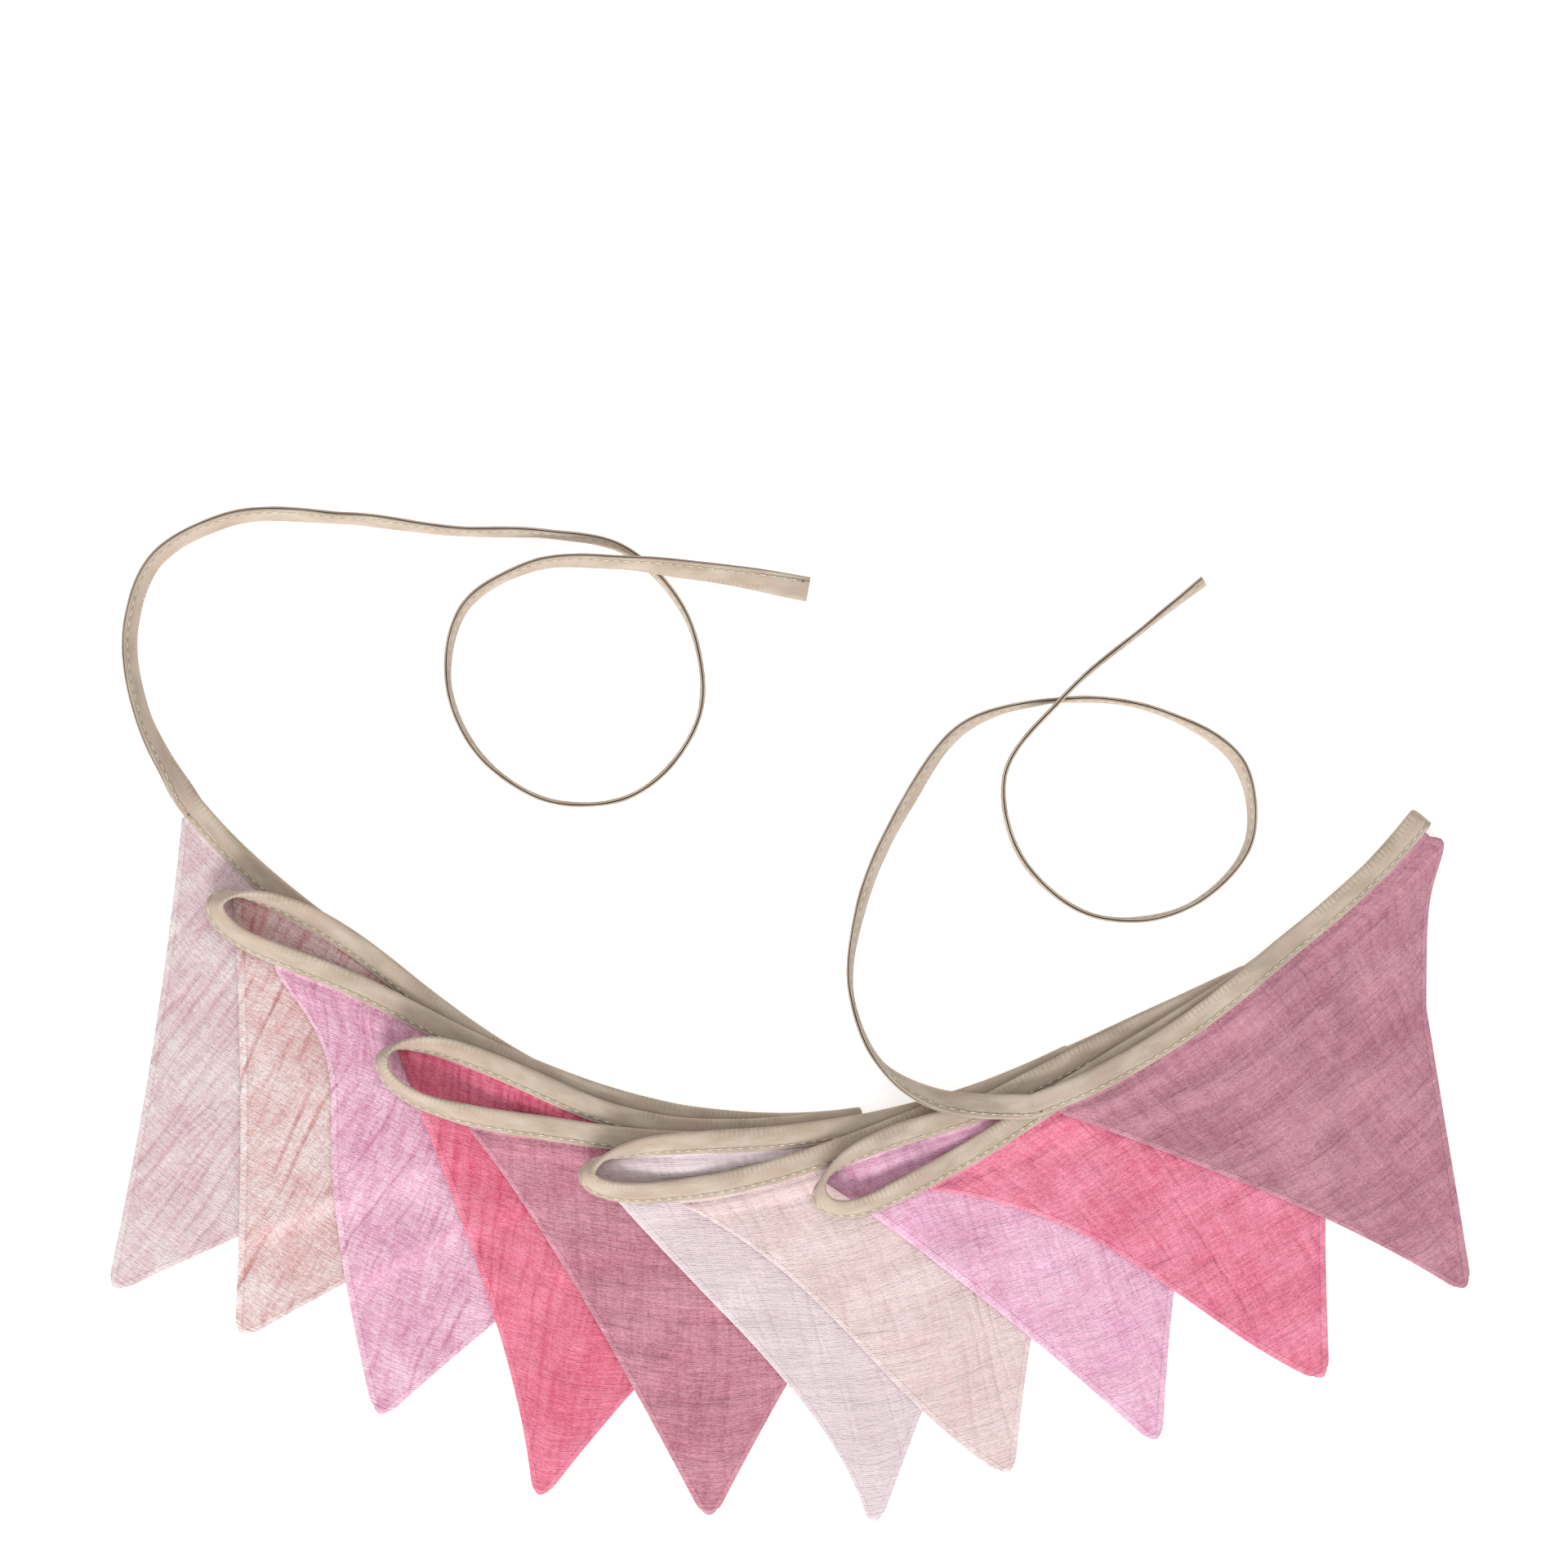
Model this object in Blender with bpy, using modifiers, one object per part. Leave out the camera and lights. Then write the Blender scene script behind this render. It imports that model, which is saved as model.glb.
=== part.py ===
"""Fabric bunting: ten cloth pennants sewn into a folded tape, laid down in a zigzag.

The tape runs to and fro in ten stretches. On the right it is creased flat over itself, on the
left it turns in open loops that stand on their stitched edge, so the pennants fan out. Past the
first and the last pennant the tape goes on as a tie that curls over the surface.

Everything is first placed in plan. Then each piece is laid in turn, from the bottom of the pile
to the top, on a map that holds the height of all that lies there already.

Tables and sizes are in millimetres. place_on_grid() scales each piece to metres.
"""

from collections import namedtuple
import math

import bmesh
import bpy
import numpy as np

MM = 0.001

# The tape: a strip folded in half along its length, open along its stitched edge.
TAPE_WIDTH = 9.5
LIP = 0.6  # thickness of each half
SLOT = 1.9  # room between the halves
TIE_THICKNESS = 2.0  # a tie's halves are stitched to each other
TAPE_THICKNESS = SLOT + 2 * LIP

# The pennants: one double sheet each, spaced evenly along the tape.
CLOTH = 1.0
TUCK = 8.4  # of the top edge, inside the tape
PITCH = 231.5
PENNANT_WIDTH = 182.0
TIP_WIDTH = 5.5
PINCH_AT = 0.36  # of the way down a side
MOUTH_ROOM = 1.5  # of flat cloth outside the tape before it may bend
SKIRT = (1.5, 3.5)  # past the tape, where its cloth must clear what lies below
ROWS = (0.05, 0.13, 0.23, 0.36, 0.51, 0.67, 0.84, 1.0)  # share of the way to the tip

# How pieces lie on each other.
GAP = 0.5  # under a laid piece, so that facets stay 0.3 apart
BINDING_SLOPE = 0.30
CLOTH_SLOPE = 0.50
TENT_REACH = 45  # how far out from the tape a pennant may hang clear
LOOP_RISE = 1.5  # of an open loop's tip above the pennant's corner beside it
LOOP_END = 12.0  # of an open loop, which the next stretch goes on from
TIE_SLOPE = 0.18
TAIL_SHARE = 0.6  # where the part of a tie that crosses over the rest begins
TIE_LIFT = 0.3  # of a tie's edge, so that no facet dips into the surface
SAMPLING = 0.8  # of a laid piece, on the map's cells of 1
CLOTH_SAMPLES = 20  # along each side of a facet that is laid
REST_SAMPLES = 14  # along each side of a facet that seeks its rest
LEAST_LEVEL = 0.45  # the upright part of a facet's normal, where its thickness is added to the map
CREASE_RADIUS = 1.8
CREASE_ROOM = 4.0  # between a crease and the next pennant's first corner

# How the tape leans. A flat stretch's folded edge is the higher one. It stands up into each open
# loop, quickly as it arrives there and slowly as it leaves.
LEAN = 15.0
RISE_ARRIVING = 105.0
RISE_LEAVING = 45.0
ARRIVING_LENGTH = 19.0
LEAVING_LENGTH = 43.0

# A smooth line between two places: how far its handles reach, as a share of the way.
BEND_HANDLE = 0.36
BEND_POINTS = 60
HALF_LOOP_POINTS = 20

# How far apart two cross-sections of the tape may be, and how much may change between them.
MOST_LENGTH = 24.0
MOST_TWIST = 12.0
MOST_TURN = 24.0

Fold = namedtuple("Fold", "side tip_x tip_y heading reach half_width")
FOLDS = (
    Fold("crease", -42.0, 18.0, -8, 0.0, 0.0),
    Fold("loop", -218.0, 100.0, 158, 22.0, 9.0),
    Fold("crease", 26.5, 18.0, 8, 0.0, 0.0),
    Fold("loop", -154.5, 41.5, 162, 24.0, 11.0),
    Fold("crease", 106.2, 41.8, 26, 0.0, 0.0),
    Fold("loop", -76.5, -2.5, 185, 26.0, 9.0),
    Fold("crease", 173.5, 72.0, 25, 0.0, 0.0),
    Fold("loop", 11.8, -11.5, 206, 20.0, 10.2),
    Fold("crease", 239.5, 132.5, 52, 0.0, 0.0),
)

# A place in the middle of each stretch, with the heading of a walk from left to right.
Waypoint = namedtuple("Waypoint", "x y heading")
MIDDLES = (
    Waypoint(-141.5, 64.0, -38),
    Waypoint(-151.0, 73.0, -39),
    Waypoint(-150.0, 61.5, -28),
    Waypoint(-83.0, 25.5, -24),
    Waypoint(-83.0, 13.5, -9),
    Waypoint(2.0, 12.0, 7),
    Waypoint(5.0, 2.0, 19),
    Waypoint(80.0, 26.0, 28),
    Waypoint(83.0, 15.0, 34),
    Waypoint(172.5, 70.5, 40),
)
LEFT_END = Waypoint(-227.0, 136.0, -50)
RIGHT_END = Waypoint(93.2, 24.0, 20)

# How a pennant's long side strays inwards from a straight line, in millimetres: high and low are
# the handles of a cubic curve, shoulder is a bump at a share of the way down, and pinch a point.
Side = namedtuple("Side", "high low shoulder shoulder_at pinch", defaults=(0, 0.2, 0))
PLAIN = Side(4, 4)

# From the bottom of the pile to the top.
Pennant = namedtuple("Pennant", "name tip_x tip_y left right colour")
PENNANTS = (
    Pennant("pennant_01", -257.6, -46.2, PLAIN, PLAIN, (0.78, 0.63, 0.68)),
    Pennant("pennant_02", -209.2, -63.9, PLAIN, PLAIN, (0.83, 0.63, 0.57)),
    Pennant("pennant_03", -156.5, -94.5, Side(6, -2, 12, 0.18, 0), PLAIN, (0.76, 0.38, 0.65)),
    Pennant("pennant_04", -95.5, -125.2, Side(4, 12), Side(-4, 4), (0.86, 0.20, 0.35)),
    Pennant("pennant_05", -31.0, -133.0, Side(8, 3), PLAIN, (0.51, 0.22, 0.31)),
    Pennant("pennant_06", 32.2, -135.2, Side(-2, 22), PLAIN, (0.84, 0.72, 0.74)),
    Pennant("pennant_07", 82.8, -116.6, Side(18, -8), Side(20, 11), (0.83, 0.63, 0.57)),
    Pennant("pennant_08", 139.2, -104.0, PLAIN, Side(14, 9), (0.76, 0.38, 0.65)),
    Pennant("pennant_09", 202.7, -80.3, Side(28, -2), PLAIN, (0.86, 0.20, 0.35)),
    Pennant("pennant_10", 257.0, -46.2, Side(4, 9), Side(0, 0, -8, 0.05, 8), (0.51, 0.22, 0.31)),
)

# How far the corners of two pennants at an open loop are moved along the tape.
FIRST_CORNER_SHIFT = {2: -4.5}
LAST_CORNER_SHIFT = {1: 5.0, 5: 5.0}
TAPE_COLOUR = (0.56, 0.49, 0.35)

# A tie's route from the binding to its cut end. lean is the rise of the folded edge on the
# right-hand side of the walk, in degrees: -90 stands on the folded edge, 0 lies flat.
TieRow = namedtuple("TieRow", "x y lean")
LEFT_TIE = (
    TieRow(-235.0, 148.5, -42),
    TieRow(-246.4, 172.1, -61),
    TieRow(-250.5, 206.2, -61),
    TieRow(-242.1, 229.1, -63),
    TieRow(-215.1, 245.2, -64),
    TieRow(-169.3, 246.1, -66),
    TieRow(-126.5, 241.2, -74),
    TieRow(-91.8, 240.2, -78),
    TieRow(-64.5, 234.7, -76),
    TieRow(-39.7, 208.9, -84),
    TieRow(-35.0, 170.2, -90),
    TieRow(-61.4, 140.4, -89),
    TieRow(-92.4, 139.2, -88),
    TieRow(-120.3, 159.3, -88),
    TieRow(-130.2, 185.7, -86),
    TieRow(-124.0, 212.0, -78),
    TieRow(-98.6, 227.8, -69),
    TieRow(-64.5, 229.1, -61),
    TieRow(-42.8, 226.9, -51),
    TieRow(-21.1, 224.1, -38),
    TieRow(6.8, 219.2, -5),
)
RIGHT_TIE = (
    TieRow(83.0, 23.2, 0),
    TieRow(68.8, 23.7, -15),
    TieRow(55.6, 26.0, -35),
    TieRow(35.2, 38.0, -78),
    TieRow(23.2, 64.8, -88),
    TieRow(27.0, 98.9, -70),
    TieRow(44.0, 137.2, -60),
    TieRow(65.9, 166.6, -68),
    TieRow(102.0, 177.0, -86),
    TieRow(140.1, 172.7, -80),
    TieRow(171.1, 151.6, -68),
    TieRow(174.2, 123.7, -80),
    TieRow(152.5, 99.5, -86),
    TieRow(115.3, 95.2, -88),
    TieRow(87.4, 117.5, -94),
    TieRow(81.2, 148.5, -90),
    TieRow(102.0, 177.0, -90),
    TieRow(137.0, 206.5, -84),
    TieRow(157.2, 222.3, -70),
)
JOINT = 0.3  # between the binding and a tie

# The middle of the binding and the pennants in plan, which becomes the origin.
MIDDLE = np.array([-0.3, 1.8, 0.0])


def unit(degrees):
    angle = math.radians(degrees)
    return np.array([math.cos(angle), math.sin(angle)])


def normed(vectors):
    return vectors / np.linalg.norm(vectors, axis=-1, keepdims=True)


def lengths_along(points):
    steps = np.linalg.norm(np.diff(points, axis=0), axis=1)
    return np.concatenate([[0.0], np.cumsum(steps)])


def bend(start, leaving, end, arriving):
    """A cubic curve between two places and directions."""
    start, end = np.array(start), np.array(end)
    handle = BEND_HANDLE * np.linalg.norm(end - start)
    near, far = start + handle * leaving, end - handle * arriving
    t = np.linspace(0, 1, BEND_POINTS)[:, None]
    return (
        (1 - t) ** 3 * start
        + 3 * (1 - t) ** 2 * t * near
        + 3 * (1 - t) * t**2 * far
        + t**3 * end
    )


# ---------------------------------------------------------------- the height of the pile


class HeightMap:
    """The height of all that is laid already, on a square grid in plan."""

    CELL = 1.0
    LOW = np.array([-300.0, -170.0])
    SHAPE = (600, 450)

    def __init__(self):
        self.z = np.full(self.SHAPE, -GAP)

    def cells(self, xy):
        index = np.floor((xy - self.LOW) / self.CELL).astype(int)
        index = np.clip(index, 0, np.array(self.SHAPE) - 1)
        return index[..., 0], index[..., 1]

    def at(self, xy):
        return self.z[self.cells(xy)]

    def add(self, points):
        np.maximum.at(self.z, self.cells(points[..., :2]), points[..., 2])

    @staticmethod
    def spread(z, drop):
        """Each cell raised to its highest neighbour less the drop of one step."""
        out = z.copy()
        for dx, dy in ((1, 0), (-1, 0), (0, 1), (0, -1), (1, 1), (1, -1), (-1, 1), (-1, -1)):
            moved = np.roll(z, (dx, dy), (0, 1)) - drop * math.hypot(dx, dy)
            np.maximum(out, moved, out)
        return out

    def near(self):
        """A copy in which a point finds what is within one cell of it."""
        wide = HeightMap()
        wide.z = self.spread(self.z, 0.0)
        return wide

    def tented(self, slope, reach):
        """A copy as a cloth sees it that can't fall more steeply than the slope."""
        tent = self.near()
        for _ in range(int(reach / self.CELL)):
            tent.z = self.spread(tent.z, slope * self.CELL)
        return tent


def raised_clear(z, free, corners, shares, needed):
    """Raises the free points until each sample between them is as high as it needs to be.

    corners holds the points that a sample lies between, and shares how much it is of each.
    """
    z = z.copy()
    for _ in range(60):
        short = needed - (z[corners] * shares).sum(axis=1)
        short = np.where(short > 0.01, short, 0.0)
        if not short.any():
            break
        pull = shares * free[corners]
        total = np.maximum((pull**2).sum(axis=1, keepdims=True), 1e-6)
        rise = np.zeros_like(z)
        np.maximum.at(rise, corners, np.minimum(pull * short[:, None] / total, 2.0))
        z += rise
    return z


def between(grid):
    """Points close together all over a surface given by rows and columns of points."""
    points = grid
    for axis in (0, 1):
        count = points.shape[axis]
        widest = np.linalg.norm(np.diff(points, axis=axis), axis=2).max()
        place = np.linspace(0, count - 1, (count - 1) * math.ceil(widest / SAMPLING) + 1)
        low = np.minimum(place.astype(int), count - 2)
        share = (place - low).reshape((-1, 1, 1) if axis == 0 else (1, -1, 1))
        points = (1 - share) * points.take(low, axis) + share * points.take(low + 1, axis)
    return points


# ---------------------------------------------------------------- the tape's route


def tape_frame(ahead, lean):
    """Unit vectors on level ground: from the stitched edge to the folded one, and through both."""
    right = np.stack([ahead[:, 1], -ahead[:, 0]], -1)
    across = np.concatenate([np.cos(lean)[:, None] * right, np.sin(lean)[:, None]], 1)
    return across, np.cross(np.concatenate([ahead, np.zeros((len(ahead), 1))], 1), across)


class Run:
    """One stretch of tape in plan. An open loop's tip parts two runs, and so does a crease."""

    def __init__(self, number, start, points):
        self.number = number
        self.points = points
        self.along = start + lengths_along(points)
        self.start, self.end = self.along[0], self.along[-1]
        self.heading = normed(np.gradient(points, self.along, axis=0))

    def plan(self, station):
        return np.stack([np.interp(station, self.along, axis) for axis in self.points.T], -1)

    def lean(self, station):
        """How far the folded edge is turned up from the right-hand side of the walk."""
        if self.number % 2:
            rise = RISE_ARRIVING * np.exp(-(self.end - station) / ARRIVING_LENGTH) * ends_in_loop(self)
            return np.radians(LEAN + rise)
        rise = RISE_LEAVING * np.exp(-(((station - self.start) / LEAVING_LENGTH) ** 2)) * (self.number > 0)
        return np.radians(180 - LEAN - rise)

    def ahead(self, station):
        return normed(np.stack([np.interp(station, self.along, axis) for axis in self.heading.T], -1))

    def frame(self, station):
        return tape_frame(self.ahead(station), self.lean(station))


def half_loop(fold):
    """The open loop's half ellipse, walked anticlockwise, in its two halves."""
    outward = unit(fold.heading)
    sideways = np.array([outward[1], -outward[0]])
    centre = np.array([fold.tip_x, fold.tip_y]) - fold.reach * outward
    angle = np.radians(np.linspace(-90, 90, 2 * HALF_LOOP_POINTS + 1))[:, None]
    points = (
        centre
        + fold.reach * outward * np.cos(angle)
        - fold.half_width * sideways * np.sin(angle)
    )
    return points[: HALF_LOOP_POINTS + 1], points[HALF_LOOP_POINTS:]


def without_repeats(line):
    steps = np.linalg.norm(np.diff(line, axis=0), axis=1)
    return line[np.concatenate([[True], steps > 1e-6])]


def runs_of_binding():
    """The ten stretches, each from fold to fold through the waypoint in its middle.

    points gathers the stretch that is being walked, and begun the half loop that the next one
    begins with. ahead and place are how and where the walk goes on.
    """
    runs, start = [], 0.0
    place, ahead = np.array(LEFT_END[:2]), unit(LEFT_END.heading)
    points = []
    for number, middle in enumerate(MIDDLES):
        through = unit(middle.heading) * (-1) ** number
        points.append(bend(place, ahead, middle[:2], through))
        begun = []
        crease = 0.0
        if number == len(FOLDS):
            points.append(bend(middle[:2], through, RIGHT_END[:2], -unit(RIGHT_END.heading)))
        elif FOLDS[number].side == "crease":
            outward = unit(FOLDS[number].heading)
            place = np.array(FOLDS[number][1:3]) - CREASE_RADIUS * outward
            points.append(bend(middle[:2], through, place, outward))
            crease = math.pi * CREASE_RADIUS
        else:
            outward = unit(FOLDS[number].heading)
            arriving, leaving = half_loop(FOLDS[number])
            points += [bend(middle[:2], through, arriving[0], outward), arriving]
            begun, place = [leaving], leaving[-1]
        runs.append(Run(number, start, without_repeats(np.concatenate(points))))
        start = runs[-1].end + crease
        ahead = -outward
        points = begun
    return runs


def ends_in_loop(run):
    return run.number < len(FOLDS) and FOLDS[run.number].side == "loop"


def pennant_span(run):
    """Where the pennant's top edge begins and ends. A corner that meets a crease is taken in."""
    start = run.number * PITCH
    first = start + FIRST_CORNER_SHIFT.get(run.number, 0.0)
    last = start + PENNANT_WIDTH + LAST_CORNER_SHIFT.get(run.number, 0.0)
    if run.number:
        first = max(first, run.start + CREASE_ROOM)
    return first, last


def spaced(fine, lean, ahead):
    """Stations along fine, closer together where the tape twists or bends."""
    length = np.diff(fine) / MOST_LENGTH
    twist = np.degrees(np.abs(np.diff(lean))) / MOST_TWIST
    turn = np.degrees(np.linalg.norm(np.diff(ahead, axis=0), axis=1)) / MOST_TURN
    measure = np.concatenate([[0.0], np.cumsum(length + twist + turn)])
    count = max(1, round(measure[-1]))
    return np.interp(np.linspace(0, measure[-1], count + 1), measure, fine)


def stations_of(run):
    """The run's cross-sections, with one at each corner of its pennant."""
    first, last = pennant_span(run)
    stations = [run.start]
    for low, high in ((run.start, first), (first, last), (last, run.end)):
        if high - low < 0.5:
            continue
        fine = np.linspace(low, high, 200)
        stations.extend(spaced(fine, run.lean(fine), run.ahead(fine))[1:])
    return np.array(stations)


# ---------------------------------------------------------------- laying the pieces


def slope_limited(along, z, slope):
    """The lowest line over all the heights that rises and falls no faster than the slope."""
    return (z[None, :] - slope * np.abs(along[:, None] - along[None, :])).max(axis=1)


def rest_height(ground, centre, across, through, half_depth, skirt=()):
    """How high a cross-section's centre has to be for all of it to clear the ground.

    skirt lists distances past the stitched edge at which cloth comes out of the tape.
    """
    half_width = TAPE_WIDTH / 2
    offsets = [(a, half_depth) for a in np.linspace(-half_width, half_width, 11)]
    offsets += [(-half_width - a, CLOTH / 2) for a in skirt]
    needed = []
    for a, b in offsets:
        for side in (-b, b):
            offset = a * across + side * through
            needed.append(ground.at(centre + offset[:, :2]) + GAP - offset[:, 2])
    return np.max(needed, axis=0)


def outside(centre, across, through, half_depth):
    """Points all over the four sides of a tape."""
    corners = [(-1, -1), (1, -1), (1, 1), (-1, 1), (-1, -1)]
    ring = [centre + a * TAPE_WIDTH / 2 * across + b * half_depth * through for a, b in corners]
    return between(np.stack(ring, 1))


def lay_run(run, ground, start_z):
    """The run's stations, resting on what lies below them and starting no lower than start_z."""
    fine = np.arange(run.start, run.end + 1.0, 1.5)
    frame = run.frame(fine)
    needed = rest_height(ground.near(), run.plan(fine), *frame, TAPE_THICKNESS / 2, SKIRT)
    needed[0] = max(needed[0], start_z)
    needed = slope_limited(fine, needed, BINDING_SLOPE)
    stations = stations_of(run)
    after = np.clip(np.searchsorted(stations, fine), 1, len(stations) - 1)
    share = (fine - stations[after - 1]) / (stations[after] - stations[after - 1])
    share = np.clip(share, 0, 1)
    z = raised_clear(
        np.interp(stations, fine, needed),
        np.ones(len(stations)),
        np.stack([after - 1, after], 1),
        np.stack([1 - share, share], 1),
        needed,
    )
    if ends_in_loop(run):
        # The rest of the loop turns back over the pennant's corner.
        last = pennant_span(run)[1]
        z += LOOP_RISE * np.clip((stations - last) / (run.end - last), 0, 1)
    return stations, np.column_stack([run.plan(stations), z]), run.frame(stations)[0]


def tape_normals(centre, across):
    steps = normed(np.diff(centre, axis=0))
    ahead = normed(np.concatenate([steps[:1], normed(steps[1:] + steps[:-1]), steps[-1:]]))
    return normed(np.cross(ahead, across))


def crease_points(below, above, outward):
    """The half turn that takes the tape from one stretch up to the next."""
    angle = np.radians(np.arange(-60, 61, 30))[:, None]
    middle, rise = (below + above) / 2, (above - below) / 2
    reach = np.append(outward, 0.0) * max(CREASE_RADIUS, np.linalg.norm(rise))
    return middle + reach * np.cos(angle) + rise * np.sin(angle)


def strays_in(side, share):
    """How far a long side lies inside the straight line from its corner to the tip."""
    curve = 3 * share * (1 - share) * ((1 - share) * side.high + share * side.low)
    place = share / side.shoulder_at
    bump = side.shoulder * (place * math.exp(1 - place)) ** 2
    return curve + bump + side.pinch * min(share / PINCH_AT, (1 - share) / (1 - PINCH_AT))


def pennant_plan(pennant, sides, tucked, mouth, edge):
    """Rows of places from inside the tape to the blunt tip.

    sides are the pennant's long sides in the order of the walk along the tape.
    """
    tip = np.array([pennant.tip_x, pennant.tip_y])
    side = normed(edge[-1] - edge[0])
    along = lengths_along(edge)
    from_middle = (2 * along / along[-1] - 1)[:, None]
    blunt = tip + from_middle * TIP_WIDTH / 2 * side
    before_middle, after_middle = np.maximum(-from_middle, 0), np.maximum(from_middle, 0)
    rows = [tucked, mouth]
    for share in ROWS:
        inward = strays_in(sides[0], share) * before_middle - strays_in(sides[1], share) * after_middle
        rows.append((1 - share) * mouth + share * blunt + inward * side)
    return np.array(rows)


def triangle_samples(rows, columns, count):
    """Samples all over a grid's triangles: the points each lies between, and its shares of them."""
    first = (np.arange(rows - 1)[:, None] * columns + np.arange(columns - 1)).ravel()
    across, down = first + 1, first + columns
    opposite = down + 1
    triangles = [np.stack([first, across, opposite], 1), np.stack([first, opposite, down], 1)]
    i, j = np.meshgrid(np.arange(count + 1), np.arange(count + 1), indexing="ij")
    shares = np.stack([count - i - j, i, j], -1)[i + j <= count] / count
    corners = np.repeat(np.concatenate(triangles), len(shares), axis=0)
    return corners, np.tile(shares, (len(corners) // len(shares), 1))


def lay_pennant(pennant, sides, edge, across, up, ground):
    """The pennant's underside as a grid of points, from inside the tape down to its tip."""
    under = edge - CLOTH / 2 * up
    tucked = under + TUCK * across
    mouth = under - MOUTH_ROOM * across
    plan = pennant_plan(pennant, sides, tucked[:, :2], mouth[:, :2], edge[:, :2])

    support = ground.near()
    below = HeightMap()
    below.z = support.z.copy()
    below.add(between(np.stack([mouth, edge - CLOTH / 2 * up])) - [0, 0, GAP])
    z = below.tented(CLOTH_SLOPE, TENT_REACH).at(plan) + GAP
    z[0], z[1] = tucked[:, 2], mouth[:, 2]
    free = np.ones_like(z)
    free[:2] = 0

    corners, shares = triangle_samples(*z.shape, REST_SAMPLES)
    spots = (plan.reshape(-1, 2)[corners] * shares[:, :, None]).sum(axis=1)
    loose = corners.min(axis=1) >= len(edge)
    needed = np.where(loose, support.at(spots) + GAP, -np.inf)
    z = raised_clear(z.ravel(), free.ravel(), corners, shares, needed).reshape(z.shape)
    return np.concatenate([plan, z[:, :, None]], axis=2)


def cloth_top(grid):
    """Points all over the upper face of a sheet whose underside is the grid."""
    corners, shares = triangle_samples(*grid.shape[:2], CLOTH_SAMPLES)
    points = grid.reshape(-1, 3)
    a, b, c = (points[corners[:, i]] for i in range(3))
    level = np.abs(normed(np.cross(b - a, c - a))[:, 2])
    top = (points[corners] * shares[:, :, None]).sum(axis=1)
    top[:, 2] += CLOTH / np.maximum(level, LEAST_LEVEL)
    return top


def lay_pile(ground):
    """Lays each stretch of tape and then the pennant in it, from the bottom of the pile up."""
    centres, acrosses, grids = [], [], []
    loop_end = None
    for run in runs_of_binding():
        start_z = centres[-1][-1, 2] if centres else 0.0
        stations, centre, across = lay_run(run, ground, start_z)
        if run.number and FOLDS[run.number - 1].side == "crease":
            turn = crease_points(centres[-1][-1], centre[0], unit(FOLDS[run.number - 1].heading))
            centres.append(turn)
            acrosses.append(np.repeat(across[:1], len(turn), axis=0))
        elif run.number:
            stations, centre, across = stations[1:], centre[1:], across[1:]
        centres.append(centre)
        acrosses.append(across)

        through = tape_normals(centre, across)
        first, last = pennant_span(run)
        held = (stations > first - 0.01) & (stations < last + 0.01)
        edge = (centre - TAPE_WIDTH / 2 * across)[held]
        up = through[held] * (-1) ** run.number
        pennant = PENNANTS[run.number]
        sides = (pennant.left, pennant.right)[:: (-1) ** run.number]
        grids.append(lay_pennant(pennant, sides, edge, across[held], up, ground))

        # The next stretch goes on from an open loop's end, so it must not climb over it.
        if loop_end is not None:
            ground.add(loop_end)
            loop_end = None
        laid = len(stations)
        if ends_in_loop(run):
            laid = np.searchsorted(stations, run.end - LOOP_END)
            rest = slice(laid - 1, None)
            loop_end = outside(centre[rest], across[rest], through[rest], TAPE_THICKNESS / 2)
        ground.add(outside(centre[:laid], across[:laid], through[:laid], TAPE_THICKNESS / 2))
        ground.add(cloth_top(grids[-1]))
    return np.concatenate(centres), np.concatenate(acrosses), grids


def smooth_through(places, knots, fine, first_ahead):
    """A cubic curve through the places, leaving the first in the given direction."""
    slopes = np.gradient(places, knots, axis=0)
    slopes[0] = first_ahead
    low = np.clip(np.searchsorted(knots, fine, side="right") - 1, 0, len(knots) - 2)
    width = (knots[low + 1] - knots[low])[:, None]
    t = (fine - knots[low])[:, None] / width
    return (
        (2 * t**3 - 3 * t**2 + 1) * places[low]
        + (t**3 - 2 * t**2 + t) * width * slopes[low]
        + (3 * t**2 - 2 * t**3) * places[low + 1]
        + (t**3 - t**2) * width * slopes[low + 1]
    )


def lay_tie(rows, start, outward, ground):
    """The tie's centre line and across vectors, from the binding to the cut end."""
    places = np.array([start[:2], *[(row.x, row.y) for row in rows]])
    knots = lengths_along(places)
    fine = np.linspace(0, knots[-1], round(knots[-1] / 2))
    line = smooth_through(places, knots, fine, normed(outward[:2]))
    along = lengths_along(line)
    ahead = normed(np.gradient(line, along, axis=0))
    lean = np.radians(np.interp(fine, knots, [LEAN, *[row.lean for row in rows]]))
    across, through = tape_frame(ahead, lean)

    # The tail crosses over the first part of the tie, so that is laid first.
    z = np.zeros(len(line))
    tail = round(len(line) * TAIL_SHARE)
    for part in (slice(0, tail), slice(tail, None)):
        section = (across[part], through[part], TIE_THICKNESS / 2)
        needed = rest_height(ground.near(), line[part], *section) + TIE_LIFT
        if part.start == 0:
            needed[0] = max(needed[0], start[2])
        z[part] = slope_limited(along[part], needed, TIE_SLOPE)
        ground.add(outside(np.column_stack([line[part], z[part]]), *section))
    picked = np.searchsorted(along, spaced(along, lean, ahead) - 0.5)
    return np.column_stack([line, z])[picked], across[picked]


# ---------------------------------------------------------------- making the meshes


def row_of(face, rows):
    """Which row of a fresh unit grid a face is in."""
    return int((face.calc_center_median().y + 0.5) * (rows - 1))


def place_on_grid(shape, grid):
    """Moves a fresh unit grid's vertices to the points of the same row and column."""
    rows, columns = grid.shape[:2]
    for vert in shape.verts:
        i = round((vert.co.y + 0.5) * (rows - 1))
        j = round((vert.co.x + 0.5) * (columns - 1))
        vert.co = (grid[i, j] - MIDDLE) * MM


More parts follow.
